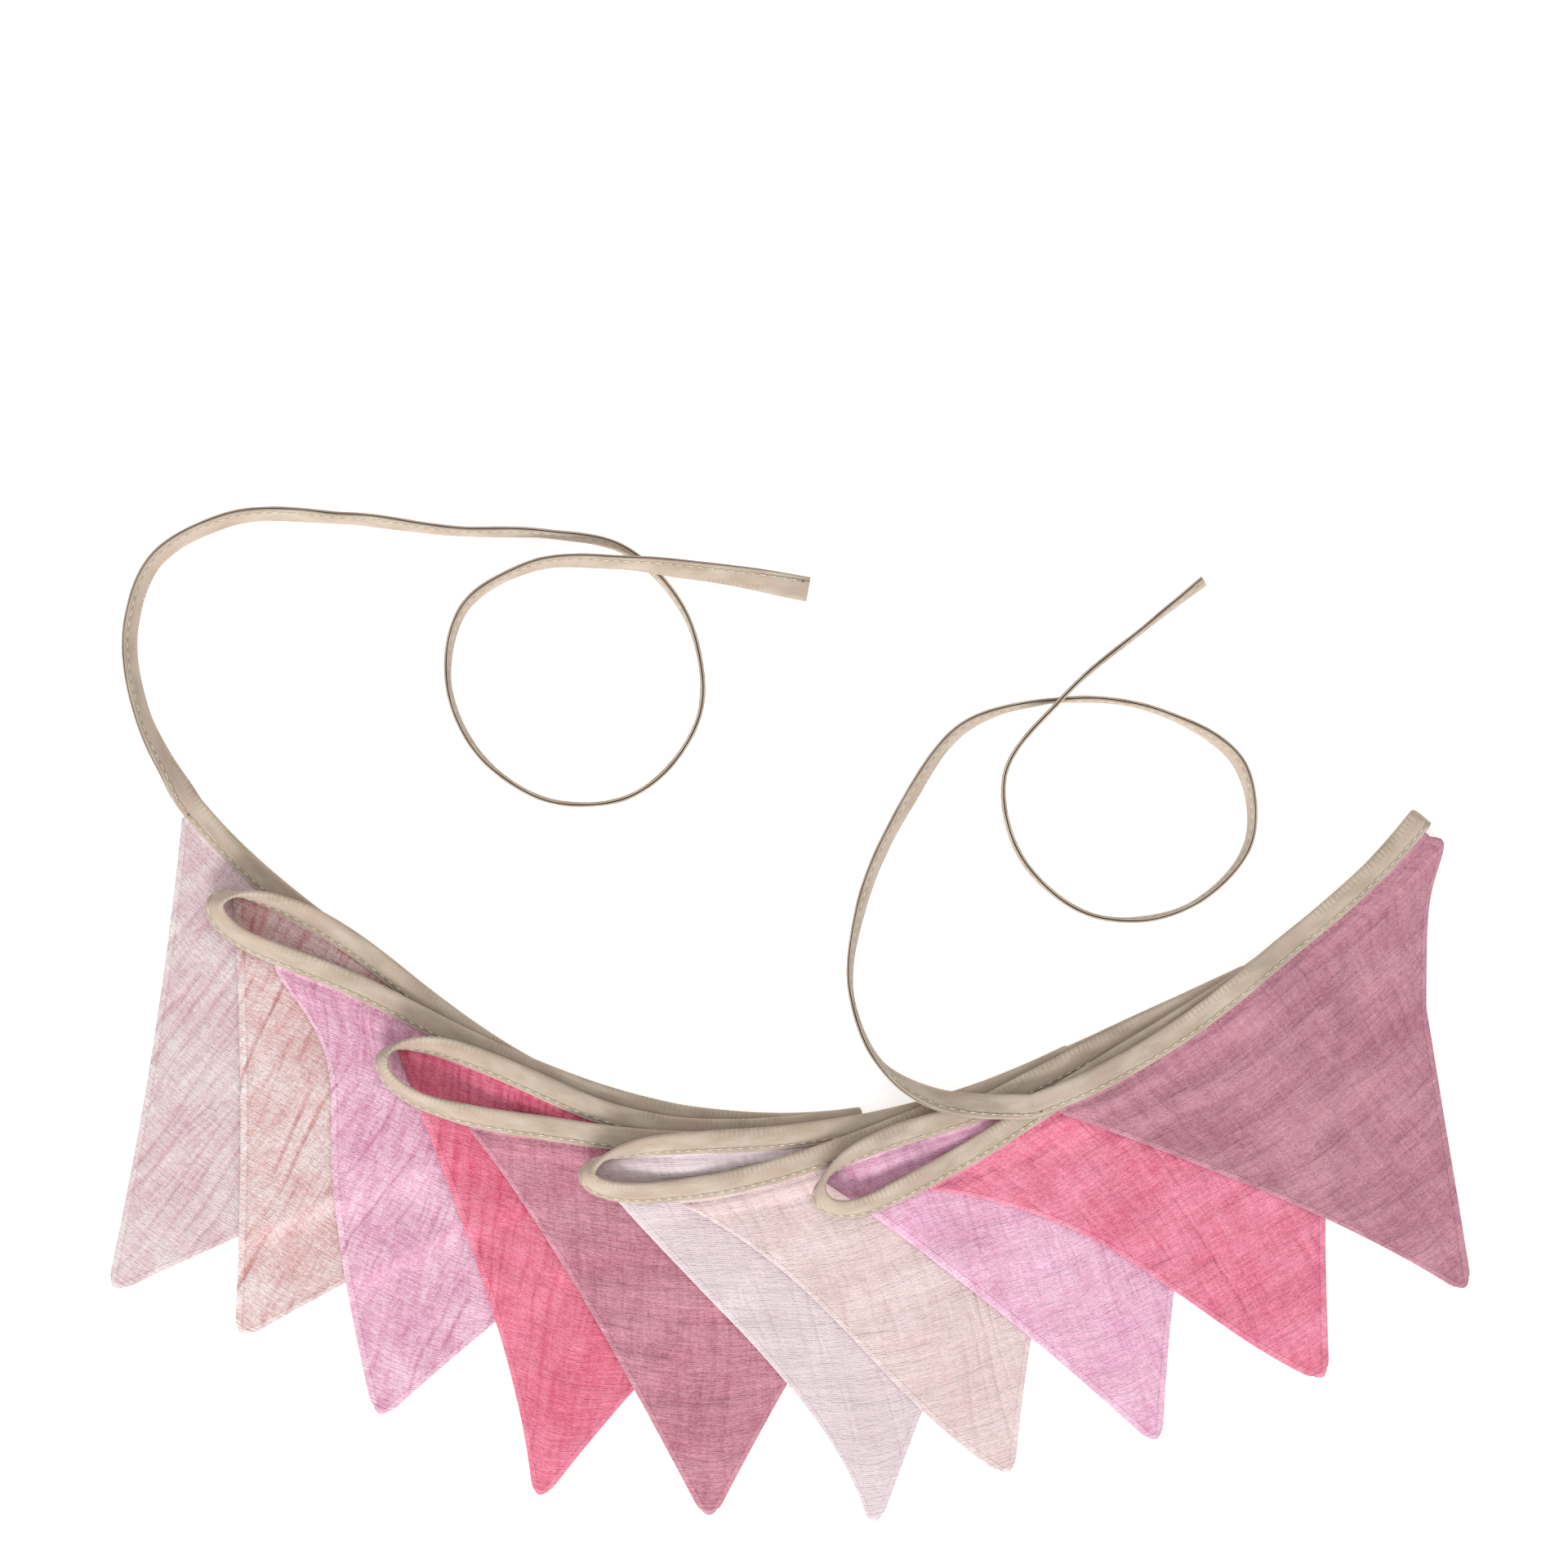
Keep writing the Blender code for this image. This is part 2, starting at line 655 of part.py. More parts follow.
def cloth_material(name, colour):
    material = bpy.data.materials.new(name)
    material.use_nodes = True
    surface = material.node_tree.nodes["Principled BSDF"]
    surface.inputs["Base Color"].default_value = (*colour, 1.0)
    surface.inputs["Roughness"].default_value = 0.95
    surface.inputs["Metallic"].default_value = 0.0
    return material


def add_sheet(parts, name, grid, thickness, colour, crossed=()):
    """A sheet on rows and columns of points, thickened towards the side it faces.

    Each cell is cut from its first corner to the opposite one, or the other way in the crossed
    rows, so that the facets of the tape and of the cloth inside it follow each other.
    """
    rows, columns = grid.shape[:2]
    shape = bmesh.new()
    bmesh.ops.create_grid(shape, x_segments=columns - 1, y_segments=rows - 1, size=0.5)
    turned = [face for face in shape.faces if row_of(face, rows) in crossed]
    plain = [face for face in shape.faces if row_of(face, rows) not in crossed]
    place_on_grid(shape, grid)
    bmesh.ops.triangulate(shape, faces=turned, quad_method="ALTERNATE")
    bmesh.ops.triangulate(shape, faces=plain, quad_method="FIXED")
    mesh = bpy.data.meshes.new(name)
    shape.to_mesh(mesh)
    shape.free()
    mesh.materials.append(cloth_material(name, colour))
    sheet = bpy.data.objects.new(name, mesh)
    parts.objects.link(sheet)
    solidify = sheet.modifiers.new("thickness", "SOLIDIFY")
    solidify.thickness = thickness * MM
    solidify.offset = 1.0
    solidify.use_even_offset = True
    solidify.use_quality_normals = True


def add_binding(parts, centre, across):
    """The folded strip: the inside of its two halves and its fold, thickened outwards."""
    slot = SLOT / 2 * tape_normals(centre, across)
    mouth = centre - TAPE_WIDTH / 2 * across
    fold = centre + (TAPE_WIDTH / 2 - LIP) * across
    inside = np.stack([mouth + slot, fold + slot, fold - slot, mouth - slot])
    add_sheet(parts, "binding", inside, LIP, TAPE_COLOUR, crossed=(0,))


def add_pennant(parts, pennant, grid):
    """The walk along every second stretch is from right to left, which turns the grid over."""
    corner, beside, below = grid[2, 0], grid[2, -1], grid[-1, 0]
    if np.cross(beside - corner, below - corner)[2] > 0:
        add_sheet(parts, pennant.name, grid, CLOTH, pennant.colour)
    else:
        turned = grid[:, ::-1]
        add_sheet(parts, pennant.name, turned, CLOTH, pennant.colour, crossed=range(len(grid)))


def add_tie(parts, name, rows, end, before, ground):
    """A tie goes on from the binding's last cross-section but one and its end."""
    outward = normed(end - before)
    centre, across = lay_tie(rows, end + JOINT * outward, outward, ground)
    under = centre - TIE_THICKNESS / 2 * tape_normals(centre, across)
    half = TAPE_WIDTH / 2 * across
    ribbon = np.stack([under - half, under + half])
    add_sheet(parts, name, ribbon, TIE_THICKNESS, TAPE_COLOUR)


def main():
    for old in list(bpy.data.objects):
        bpy.data.objects.remove(old, do_unlink=True)
    parts = bpy.data.collections.new("fabric_bunting")
    bpy.context.scene.collection.children.link(parts)

    ground = HeightMap()
    centre, across, grids = lay_pile(ground)
    add_binding(parts, centre, across)
    for pennant, grid in zip(PENNANTS, grids):
        add_pennant(parts, pennant, grid)
    add_tie(parts, "tie_left", LEFT_TIE, centre[0], centre[1], ground)
    add_tie(parts, "tie_right", RIGHT_TIE, centre[-1], centre[-2], ground)


main()
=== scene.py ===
"""Fabric bunting on a pale surface, folded in a zigzag: ten muslin pennants in a bias tape.

Tables and sizes are in millimetres and degrees, and MM turns them to metres as a mesh is made.
"""

from collections import namedtuple
import math

import bpy
import numpy as np
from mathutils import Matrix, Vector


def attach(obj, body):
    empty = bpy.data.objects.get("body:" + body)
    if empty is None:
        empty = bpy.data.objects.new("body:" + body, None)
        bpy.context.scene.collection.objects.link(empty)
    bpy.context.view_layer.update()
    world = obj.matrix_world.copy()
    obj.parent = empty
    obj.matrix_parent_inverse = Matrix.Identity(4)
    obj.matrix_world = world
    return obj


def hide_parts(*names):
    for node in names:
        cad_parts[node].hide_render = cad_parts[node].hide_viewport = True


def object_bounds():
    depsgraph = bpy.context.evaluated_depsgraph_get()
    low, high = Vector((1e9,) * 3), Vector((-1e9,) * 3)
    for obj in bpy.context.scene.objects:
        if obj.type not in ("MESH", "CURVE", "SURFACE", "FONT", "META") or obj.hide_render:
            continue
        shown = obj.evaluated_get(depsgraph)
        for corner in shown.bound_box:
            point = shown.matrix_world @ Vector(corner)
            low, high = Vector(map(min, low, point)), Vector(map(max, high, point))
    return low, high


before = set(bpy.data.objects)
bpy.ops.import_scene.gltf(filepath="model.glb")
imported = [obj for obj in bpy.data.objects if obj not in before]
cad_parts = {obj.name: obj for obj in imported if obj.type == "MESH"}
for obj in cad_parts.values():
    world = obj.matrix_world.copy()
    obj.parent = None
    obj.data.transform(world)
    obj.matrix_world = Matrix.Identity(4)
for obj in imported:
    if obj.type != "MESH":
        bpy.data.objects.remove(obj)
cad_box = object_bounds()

MM = 0.001
scene = bpy.context.scene

# ------------------------------------------------------------------ camera
# It looks straight down from high above, so that nothing leans away at the sides. The picture
# has the bunting in its lower part, with room above for the ties.

VIEW_SIDE = 595.2 * MM
VIEW_RIGHT = -2.2 * MM
VIEW_ABOVE_MIDDLE = 87.9 * MM
CAMERA_HEIGHT = 2.6  # above the middle of the pile
PILE_MIDDLE = 8 * MM

camera_lens = bpy.data.cameras.new("camera")
camera_lens.lens = camera_lens.sensor_width * CAMERA_HEIGHT / VIEW_SIDE
camera = bpy.data.objects.new("camera", camera_lens)
camera.location = (
    VIEW_RIGHT,
    (cad_box[0].y + cad_box[1].y) / 2 + VIEW_ABOVE_MIDDLE,
    CAMERA_HEIGHT + PILE_MIDDLE,
)
scene.collection.objects.link(camera)
scene.camera = camera

# ------------------------------------------------------------------ how the tape is folded
# The maker's strip is walked from its left end to its right one, in ten stretches. On the right
# it is creased flat over itself, and on the left it turns in open loops that stand on edge.

TAPE_WIDTH = 9.5
TAPE_THICKNESS = 2.3  # of the folded strip with cloth in it
PITCH = 231.5  # from one pennant's first corner to the next one's
PENNANT_WIDTH = 182.0
CREASE_RADIUS = 1.8  # of the half turn at a crease
CREASE_ROOM = 1.5  # between a crease and the next pennant's first corner
FIRST_CORNER_SHIFT = {2: -4.5}  # of a pennant's corner along the tape
LAST_CORNER_SHIFT = {1: 5.0, 5: 10.0}
STEP = 1.25  # between two cross-sections of the tape
LEAN = 15.0  # of a flat stretch: its folded edge is the higher one
ARRIVING_LENGTH = 19.0  # in which the tape stands up into an open loop
LEAVING_LENGTH = 43.0  # in which it lies down again
BEND_HANDLE = 0.36  # of a curve between two places, as a share of the way
BEND_POINTS = 60
HALF_LOOP_POINTS = 20
SAME_PLACE = 1e-6  # two points no further apart than this are one
MIDDLE = np.array([-0.3, 1.8, 0.0])  # becomes the origin

# lean is that of the tape at an open loop's tip, where 90 stands upright and 180 lies flat.
Fold = namedtuple("Fold", "side tip_x tip_y heading reach half_width lean")
FOLDS = (
    Fold("crease", -42.0, 18.0, -8, 0.0, 0.0, 0),
    Fold("loop", -218.0, 100.0, 158, 22.0, 9.0, 136),
    Fold("crease", 26.5, 18.0, 8, 0.0, 0.0, 0),
    Fold("loop", -154.5, 41.5, 162, 24.0, 11.0, 116),
    Fold("crease", 106.2, 41.8, 26, 0.0, 0.0, 0),
    Fold("loop", -76.5, -2.5, 185, 26.0, 9.0, 136),
    Fold("crease", 173.5, 72.0, 25, 0.0, 0.0, 0),
    Fold("loop", 11.8, -11.5, 206, 20.0, 10.2, 130),
    Fold("crease", 239.5, 132.5, 52, 0.0, 0.0, 0),
)

# A place in the middle of each stretch, with the heading of a walk from left to right.
Waypoint = namedtuple("Waypoint", "x y heading")
MIDDLES = (
    Waypoint(-141.5, 64.0, -38),
    Waypoint(-151.0, 73.0, -39),
    Waypoint(-150.0, 61.5, -28),
    Waypoint(-83.0, 25.5, -24),
    Waypoint(-83.0, 13.5, -9),
    Waypoint(2.0, 12.0, 7),
    Waypoint(5.0, 2.0, 19),
    Waypoint(80.0, 26.0, 28),
    Waypoint(83.0, 15.0, 34),
    Waypoint(172.5, 70.5, 40),
)
LEFT_END = Waypoint(-227.0, 136.0, -50)
RIGHT_END = Waypoint(93.2, 24.0, 20)


def unit(degrees):
    """(cos, sin) of a heading."""
    angle = math.radians(degrees)
    return np.array([math.cos(angle), math.sin(angle)])


def normed(vectors):
    """Each vector divided by its length."""
    return vectors / np.linalg.norm(vectors, axis=-1, keepdims=True)


def lengths_along(points):
    """How far along the line each point lies: the sum of the steps before it."""
    steps = np.linalg.norm(np.diff(points, axis=0), axis=1)
    return np.concatenate([[0.0], np.cumsum(steps)])


def table_of(at, places, values):
    """Each column of values read off at the given places, in straight lines between its rows."""
    return np.stack([np.interp(at, places, column) for column in values.T], -1)


def bend(start, leaving, end, arriving):
    """A cubic curve between two places and directions.

    (1-t)^3 start + 3(1-t)^2 t near + 3(1-t) t^2 far + t^3 end, where near and far are handles
    along the directions.
    """
    start, end = np.array(start), np.array(end)
    handle = BEND_HANDLE * np.linalg.norm(end - start)
    near, far = start + handle * leaving, end - handle * arriving
    t = np.linspace(0, 1, BEND_POINTS)[:, None]
    return (
        (1 - t) ** 3 * start
        + 3 * (1 - t) ** 2 * t * near
        + 3 * (1 - t) * t**2 * far
        + t**3 * end
    )


def half_loop(fold):
    """The open loop's half ellipse in plan, walked anticlockwise, in its two halves."""
    outward = unit(fold.heading)
    sideways = np.array([outward[1], -outward[0]])
    centre = np.array([fold.tip_x, fold.tip_y]) - fold.reach * outward
    angle = np.radians(np.linspace(-90, 90, 2 * HALF_LOOP_POINTS + 1))[:, None]
    points = (
        centre
        + fold.reach * outward * np.cos(angle)
        - fold.half_width * sideways * np.sin(angle)
    )
    return points[: HALF_LOOP_POINTS + 1], points[HALF_LOOP_POINTS:]


def tape_frame(ahead, lean):
    """Unit vectors on level ground: from the stitched edge to the folded one, and through both.

    across = cos(lean) of the right-hand side of the walk + sin(lean) of up.
    """
    right = np.stack([ahead[:, 1], -ahead[:, 0]], -1)
    across = np.concatenate([np.cos(lean)[:, None] * right, np.sin(lean)[:, None]], 1)
    return across, np.cross(np.concatenate([ahead, np.zeros((len(ahead), 1))], 1), across)


class Run:
    """One stretch of tape in plan. An open loop's tip parts two runs, and so does a crease."""

    def __init__(self, number, start, points):
        self.number = number
        along = start + lengths_along(points)
        self.start, self.end = along[0], along[-1]
        first = number * PITCH + FIRST_CORNER_SHIFT.get(number, 0.0)
        self.first = max(first, self.start + CREASE_ROOM * (number > 0))
        self.last = number * PITCH + PENNANT_WIDTH + LAST_CORNER_SHIFT.get(number, 0.0)
        count = round((self.end - self.start) / STEP)
        self.stations = np.linspace(self.start, self.end, count + 1)
        heading = normed(np.gradient(points, along, axis=0))
        self.plan = table_of(self.stations, along, points)
        self.ahead = normed(table_of(self.stations, along, heading))
        self.across, self.through = tape_frame(self.ahead, self.lean())

    def ends_in(self, side):
        return self.number < len(FOLDS) and FOLDS[self.number].side == side

    def lean(self):
        """How far the folded edge is turned up from the right-hand side of the walk.

        It rises as exp(-distance / length) towards an open loop, and sinks as
        exp(-(distance / length)^2) after it.
        """
        if self.ends_in("loop"):
            rise = FOLDS[self.number].lean - LEAN
            return np.radians(LEAN + rise * np.exp(-(self.end - self.stations) / ARRIVING_LENGTH))
        if self.number % 2:
            return np.full_like(self.stations, math.radians(LEAN))
        rise = 180 - LEAN - FOLDS[self.number - 1].lean if self.number else 0
        leaving = np.exp(-(((self.stations - self.start) / LEAVING_LENGTH) ** 2))
        return np.radians(180 - LEAN - rise * leaving)


def runs_of_binding():
    """The ten stretches, each from fold to fold through the waypoint in its middle."""
    runs, start = [], 0.0
    place, ahead = np.array(LEFT_END[:2]), unit(LEFT_END.heading)
    points = []
    for number, middle in enumerate(MIDDLES):
        through = unit(middle.heading) * (-1) ** number
        points.append(bend(place, ahead, middle[:2], through))
        begun = []
        crease = 0.0
        if number == len(FOLDS):
            points.append(bend(middle[:2], through, RIGHT_END[:2], -unit(RIGHT_END.heading)))
        elif FOLDS[number].side == "crease":
            outward = unit(FOLDS[number].heading)
            place = np.array(FOLDS[number][1:3]) - CREASE_RADIUS * outward
            points.append(bend(middle[:2], through, place, outward))
            crease = math.pi * CREASE_RADIUS
        else:
            outward = unit(FOLDS[number].heading)
            arriving, leaving = half_loop(FOLDS[number])
            points += [bend(middle[:2], through, arriving[0], outward), arriving]
            begun, place = [leaving], leaving[-1]
        line = np.concatenate(points)
        apart = np.linalg.norm(np.diff(line, axis=0), axis=1) > SAME_PLACE
        runs.append(Run(number, start, line[np.concatenate([[True], apart])]))
        start = runs[-1].end + crease
        ahead = -outward
        points = begun
    return runs


# ------------------------------------------------------------------ how the pile lies
# Each stretch of tape and each pennant rests on all that was laid before it, so the pile is kept
# as a map of heights, and cloth lies on that map as a soft tent.

CLOTH = 0.8  # a pennant's two layers together
GAP = 0.3  # under a laid piece
TUCK = 8.0  # of a pennant's top edge, inside the tape
SKIRT = (1.5, 3.5)  # past the tape, where its cloth must clear what lies below
TAPE_SLOPE = 0.30
CLOTH_SLOPE = 0.50
TENT_REACH = 40  # how far out a pennant may hang clear of what lies lower
LOOP_RISE = 1.3  # of an open loop's tip above the pennant's corner beside it
LOOP_END = 12.0  # of an open loop, which the next stretch goes on from
SETTLING = 14.0  # in which a piece comes to its own height from the one it goes on from
TENT_ROUNDS = 18  # of softening
STRETCH_ROUNDS = 24
RAISES = 3  # where a softened shape fell short, it is raised, and softened again
RAISED_SLOPE = 0.15


def softened(values, rounds, axis=0):
    """Neighbours averaged one quarter, one half, one quarter, several times over."""
    for _ in range(rounds):
        edged = np.concatenate(
            [values.take([0], axis), values, values.take([-1], axis)], axis=axis
        )
        count = values.shape[axis]
        before, after = (edged.take(range(i, i + count), axis) for i in (0, 2))
        values = 0.5 * values + 0.25 * (before + after)
    return values


class Pile:
    """The height of all that is laid already, on a square grid in plan."""

    CELL = 1.0
    LOW = np.array([-300.0, -170.0])
    SHAPE = (600, 450)

    def __init__(self, z=None):
        self.z = np.full(self.SHAPE, -GAP) if z is None else z

    def cells(self, xy):
        index = np.floor((xy - self.LOW) / self.CELL).astype(int)
        index = np.clip(index, 0, np.array(self.SHAPE) - 1)
        return index[..., 0], index[..., 1]

    def at(self, xy):
        return self.z[self.cells(xy)]

    def between(self, xy):
        """The height at a place, weighed from the four cells round it."""
        place = (xy - self.LOW) / self.CELL - 0.5
        low = np.clip(np.floor(place).astype(int), 0, np.array(self.SHAPE) - 2)
        share = np.clip(place - low, 0, 1)
        i, j = low[..., 0], low[..., 1]
        s, t = share[..., 0], share[..., 1]
        near = (1 - s) * self.z[i, j] + s * self.z[i + 1, j]
        far = (1 - s) * self.z[i, j + 1] + s * self.z[i + 1, j + 1]
        return (1 - t) * near + t * far

    def add(self, points):
        """Each point's cell raised to its height."""
        np.maximum.at(self.z, self.cells(points[..., :2]), points[..., 2])

    @staticmethod
    def spread(z, drop):
        """Each cell raised to its highest neighbour less the drop of one step."""
        out = z.copy()
        for dx, dy in ((1, 0), (-1, 0), (0, 1), (0, -1), (1, 1), (1, -1), (-1, 1), (-1, -1)):
            moved = np.roll(z, (dx, dy), (0, 1)) - drop * math.hypot(dx, dy)
            np.maximum(out, moved, out)
        return out

    def near(self):
        """A copy in which a point finds what is within one cell of it."""
        return Pile(self.spread(self.z, 0.0))

    def draped(self, held):
        """A copy as cloth lies on it: held up at the held points, gently sloped and rounded."""
        support = self.near()
        support.add(held)
        tent = support.z
        for _ in range(TENT_REACH):
            tent = self.spread(tent, CLOTH_SLOPE * self.CELL)
        tent = softened(softened(tent, TENT_ROUNDS, 0), TENT_ROUNDS, 1)
        for _ in range(RAISES):
            short = self.spread(np.maximum(support.z - tent, 0.0), 0.0)
            tent = tent + softened(softened(short, 3, 0), 3, 1)
        return Pile(tent)


def slope_limited(along, z, slope):
    """The lowest line over all the heights that rises and falls no faster than the slope."""
    return (z[None, :] - slope * np.abs(along[:, None] - along[None, :])).max(axis=1)


def rest_height(pile, centre, across, through, half_depth, skirt=()):
    """How high a cross-section's centre has to be for all of it to clear the pile."""
    half_width = TAPE_WIDTH / 2
    offsets = [(a, half_depth) for a in np.linspace(-half_width, half_width, 11)]
    offsets += [(-half_width - a, CLOTH / 2) for a in skirt]
    needed = []
    for a, b in offsets:
        for side in (-b, b):
            offset = a * across + side * through
            needed.append(pile.at(centre + offset[:, :2]) + GAP - offset[:, 2])
    return np.max(needed, axis=0)


def smooth_rest(along, needed, slope):
    """A smooth line just over all the heights: slope-limited, rounded, and raised where short."""
    z = softened(slope_limited(along, needed, slope), STRETCH_ROUNDS)
    for _ in range(RAISES):
        short = slope_limited(along, np.maximum(needed - z, 0.0), RAISED_SLOPE)
        z = z + softened(short, 6)
    return z


def outside(centre, across, through, half_depth):
    """Points on both faces of a tape."""
    half_width = TAPE_WIDTH / 2
    depths = (-half_depth, half_depth)
    places = [(a, b) for a in np.linspace(-half_width, half_width, 14) for b in depths]
    return np.stack([centre + (a * across + b * through) for a, b in places])


def tape_normals(centre, across):
    """The tape's direction crossed with its across vector."""
    ahead = normed(np.gradient(centre, axis=0))
    return normed(np.cross(ahead, across))


def crease_points(below, above, outward):
    """The half turn that takes the tape from one stretch up to the next."""
    angle = np.radians(np.arange(-75, 76, 15))[:, None]
    middle, rise = (below + above) / 2, (above - below) / 2
    reach = np.append(outward, 0.0) * CREASE_RADIUS
    return middle + reach * np.cos(angle) + rise * np.sin(angle)


# ------------------------------------------------------------------ the pennants' cut
# Ten triangles of crinkled double gauze, each two layers sewn along the long sides and turned.
# PENNANTS gives where each one's tip lies, how its long sides curve in, its light and deep
# colour, between which go both the uneven dye and the painted shade, and how strong its creases,
# crinkles, bands and gathers are.

PENNANT_DEPTH = 151.0  # below the tape
TIP_WIDTH = 5.5
MOUTH_ROOM = 1.5  # of cloth outside the tape before it may bend
MOUTH_REACH = 9.0  # in which it comes from the tape's height to its own
TIP_ROUND = 2.2  # taken off the tip's two corners
TIP_ROUND_AT = 0.97  # of the way down, where that begins
SIDE_SLANT = 0.86  # cosine of the angle between a long side and the way down
TIP_HEM = 0.4  # from the tip's last row to its edge
ACROSS, DOWN = 176, 84  # cells of a pennant's grid

# How a long side strays inwards from a straight line, in millimetres: high and low are the
# handles of a cubic curve, shoulder is a bump at a share of the way down, and pinch a point.
Side = namedtuple("Side", "high low shoulder shoulder_at pinch", defaults=(0, 0.2, 0))
PLAIN = Side(4, 4)
PINCH_AT = 0.36  # of the way down a side

Pennant = namedtuple(
    "Pennant", "name slot tip_x tip_y left right light deep creases crinkle bands gathers slant"
)
PENNANTS = (
    Pennant("pennant_01", "pale_pink_muslin", -257.6, -46.2, PLAIN, PLAIN,
            "DFD8D6", "C197A1", 0.55, 1.0, 0.3, 0.6, -0.05),
    Pennant("pennant_02", "peach_muslin", -209.2, -63.9, PLAIN, PLAIN,
            "E5DEDC", "BC7D7A", 0.8, 0.8, 0.2, 0.8, 0.10),
    Pennant("pennant_03", "orchid_muslin", -156.5, -94.5, Side(6, -2, 12, 0.18, 0), PLAIN,
            "EBC9D7", "BC7294", 0.7, 0.9, 0.3, 0.8, 0.12),
    Pennant("pennant_04", "hot_pink_muslin", -95.5, -125.2, Side(4, 12), Side(-4, 4),
            "E68DA3", "C0425F", 0.5, 0.7, 0.4, 1.1, 0.05),
    Pennant("pennant_05", "mauve_muslin", -31.0, -133.0, Side(8, 3), PLAIN,
            "D398A6", "954D60", 0.25, 0.5, 0.6, 0.6, 0.00),
    Pennant("pennant_06", "palest_pink_muslin", 32.2, -135.2, Side(-2, 22), PLAIN,
            "D8CBCE", "CBB6BB", 0.30, 0.4, 0.4, 1.0, 0.10),
    Pennant("pennant_07", "peach_muslin", 82.8, -116.6, Side(18, -8), Side(20, 11),
            "DDCFCF", "CDADAB", 0.35, 0.5, 0.5, 0.4, 0.00),
    Pennant("pennant_08", "orchid_muslin", 139.2, -104.0, PLAIN, Side(14, 9),
            "EBC6DA", "C680A1", 0.30, 0.5, 0.5, 0.5, -0.10),
    Pennant("pennant_09", "hot_pink_muslin", 202.7, -80.3, Side(28, -2), PLAIN,
            "EC98AF", "C04B6A", 0.28, 0.5, 0.7, 0.5, -0.10),
    Pennant("pennant_10", "mauve_muslin", 257.0, -46.2, Side(4, 9), Side(0, 0, -8, 0.05, 8),
            "CA94A1", "985B6D", 0.15, 0.4, 1.0, 0.3, -0.10),
)


RUMPLE_CELLS = 128
RUMPLE_START = 40  # the cell at the cloth's corner


def rumple(u, v, width, length, seed):
    """Smooth random heights from -1 to 1 over the flat cloth.

    A random number stands at each corner of cells of width x length, and between the corners
    the height follows an S-curve.
    """
    heights = np.random.default_rng(seed).uniform(-1, 1, (RUMPLE_CELLS, RUMPLE_CELLS))
    x, y = u / width + RUMPLE_START, v / length + RUMPLE_START
    i, j = np.floor(x).astype(int), np.floor(y).astype(int)
    s, t = x - i, y - j
    s, t = s * s * (3 - 2 * s), t * t * (3 - 2 * t)
    i, j = i % (RUMPLE_CELLS - 1), j % (RUMPLE_CELLS - 1)
    near = (1 - s) * heights[i, j] + s * heights[i + 1, j]
    far = (1 - s) * heights[i, j + 1] + s * heights[i + 1, j + 1]
    return (1 - t) * near + t * far


CREASE_PITCH = 6.2
CREASE_WIDTH = 1.3
CREASE_DEPTH = 0.40
GATHER_PITCH = 4.2
GATHER_REACH = 14.0  # below the tape
GATHER_HEIGHT = 0.55
CRINKLE_HEIGHT = 0.22
WAVE_HEIGHT = 0.5
BAND_HEIGHT = 0.5
CLOTH_RISE = 0.8  # of the whole sheet, so that no crease dips into what lies below


def creased(pennant, u, v, seed):
    """(height, sway, crease, trough) of the cloth's own creases over the flat cloth.

    sway is u as it drifts to and fro down the cloth. A crease is a valley at every whole number
    of pitches of sway, that comes and goes. A gather is a wave of sway that fades below the tape.
    Under them lie a crinkle, a slow wave and soft bands along the tape.
    """
    sway = (
        u
        + pennant.slant * v
        + 3.4 * rumple(u, v, 23, 42, seed)
        + 0.9 * rumple(u, v, 7, 15, seed + 1)
    )
    below = np.maximum(v, 0)
    crease = np.clip(0.15 + 1.3 * rumple(sway, v, 5, 34, seed + 2), 0, 1) * pennant.creases
    away = np.abs((sway / CREASE_PITCH + 0.5) % 1 - 0.5) * CREASE_PITCH
    valley = np.exp(-((away / CREASE_WIDTH) ** 2)) * np.minimum(crease, 1.0)
    turn = sway / GATHER_PITCH + 0.6 * rumple(u, v, 8, 60, seed + 3)
    fade = np.exp(-below / GATHER_REACH) * (0.6 + 0.4 * rumple(u, v, 6, 60, seed + 4))
    fade = fade * pennant.gathers
    gather = np.sin(2 * math.pi * turn) * fade
    fine = rumple(sway, v, 2.6, 9, seed + 5) * pennant.crinkle
    wave = rumple(sway, v, 14, 34, seed + 6)
    band = rumple(u, v, 46, 9, seed + 7) * pennant.bands
    out = 1 - np.exp(-below / 2.5)
    height = out * (
        GATHER_HEIGHT * gather
        - CREASE_DEPTH * valley
        + CRINKLE_HEIGHT * fine
        + WAVE_HEIGHT * wave
        + BAND_HEIGHT * band
        + CLOTH_RISE
    )
    # How deep each gather's trough is: the material darkens the colour there as painted shade.
    trough = np.clip(0.9 * np.maximum(-gather, 0), 0, 1)
    return height, sway, crease * out, trough


def strays_in(side, share):
    """How far a long side lies inside the straight line from its corner to the tip.

    3 share (1 - share) times the two handles in turn, and the shoulder's bump and the pinch.
    """
    curve = 3 * share * (1 - share) * ((1 - share) * side.high + share * side.low)
    place = share / side.shoulder_at
    bump = side.shoulder * (place * np.exp(1 - place)) ** 2
    return curve + bump + side.pinch * np.minimum(share / PINCH_AT, (1 - share) / (1 - PINCH_AT))


def pennant_rows():
    """Shares of the way from the tape's edge to the tip, closer together near the tape."""
    t = np.linspace(0, 1, DOWN + 1)
    return 0.62 * t + 0.38 * t**2


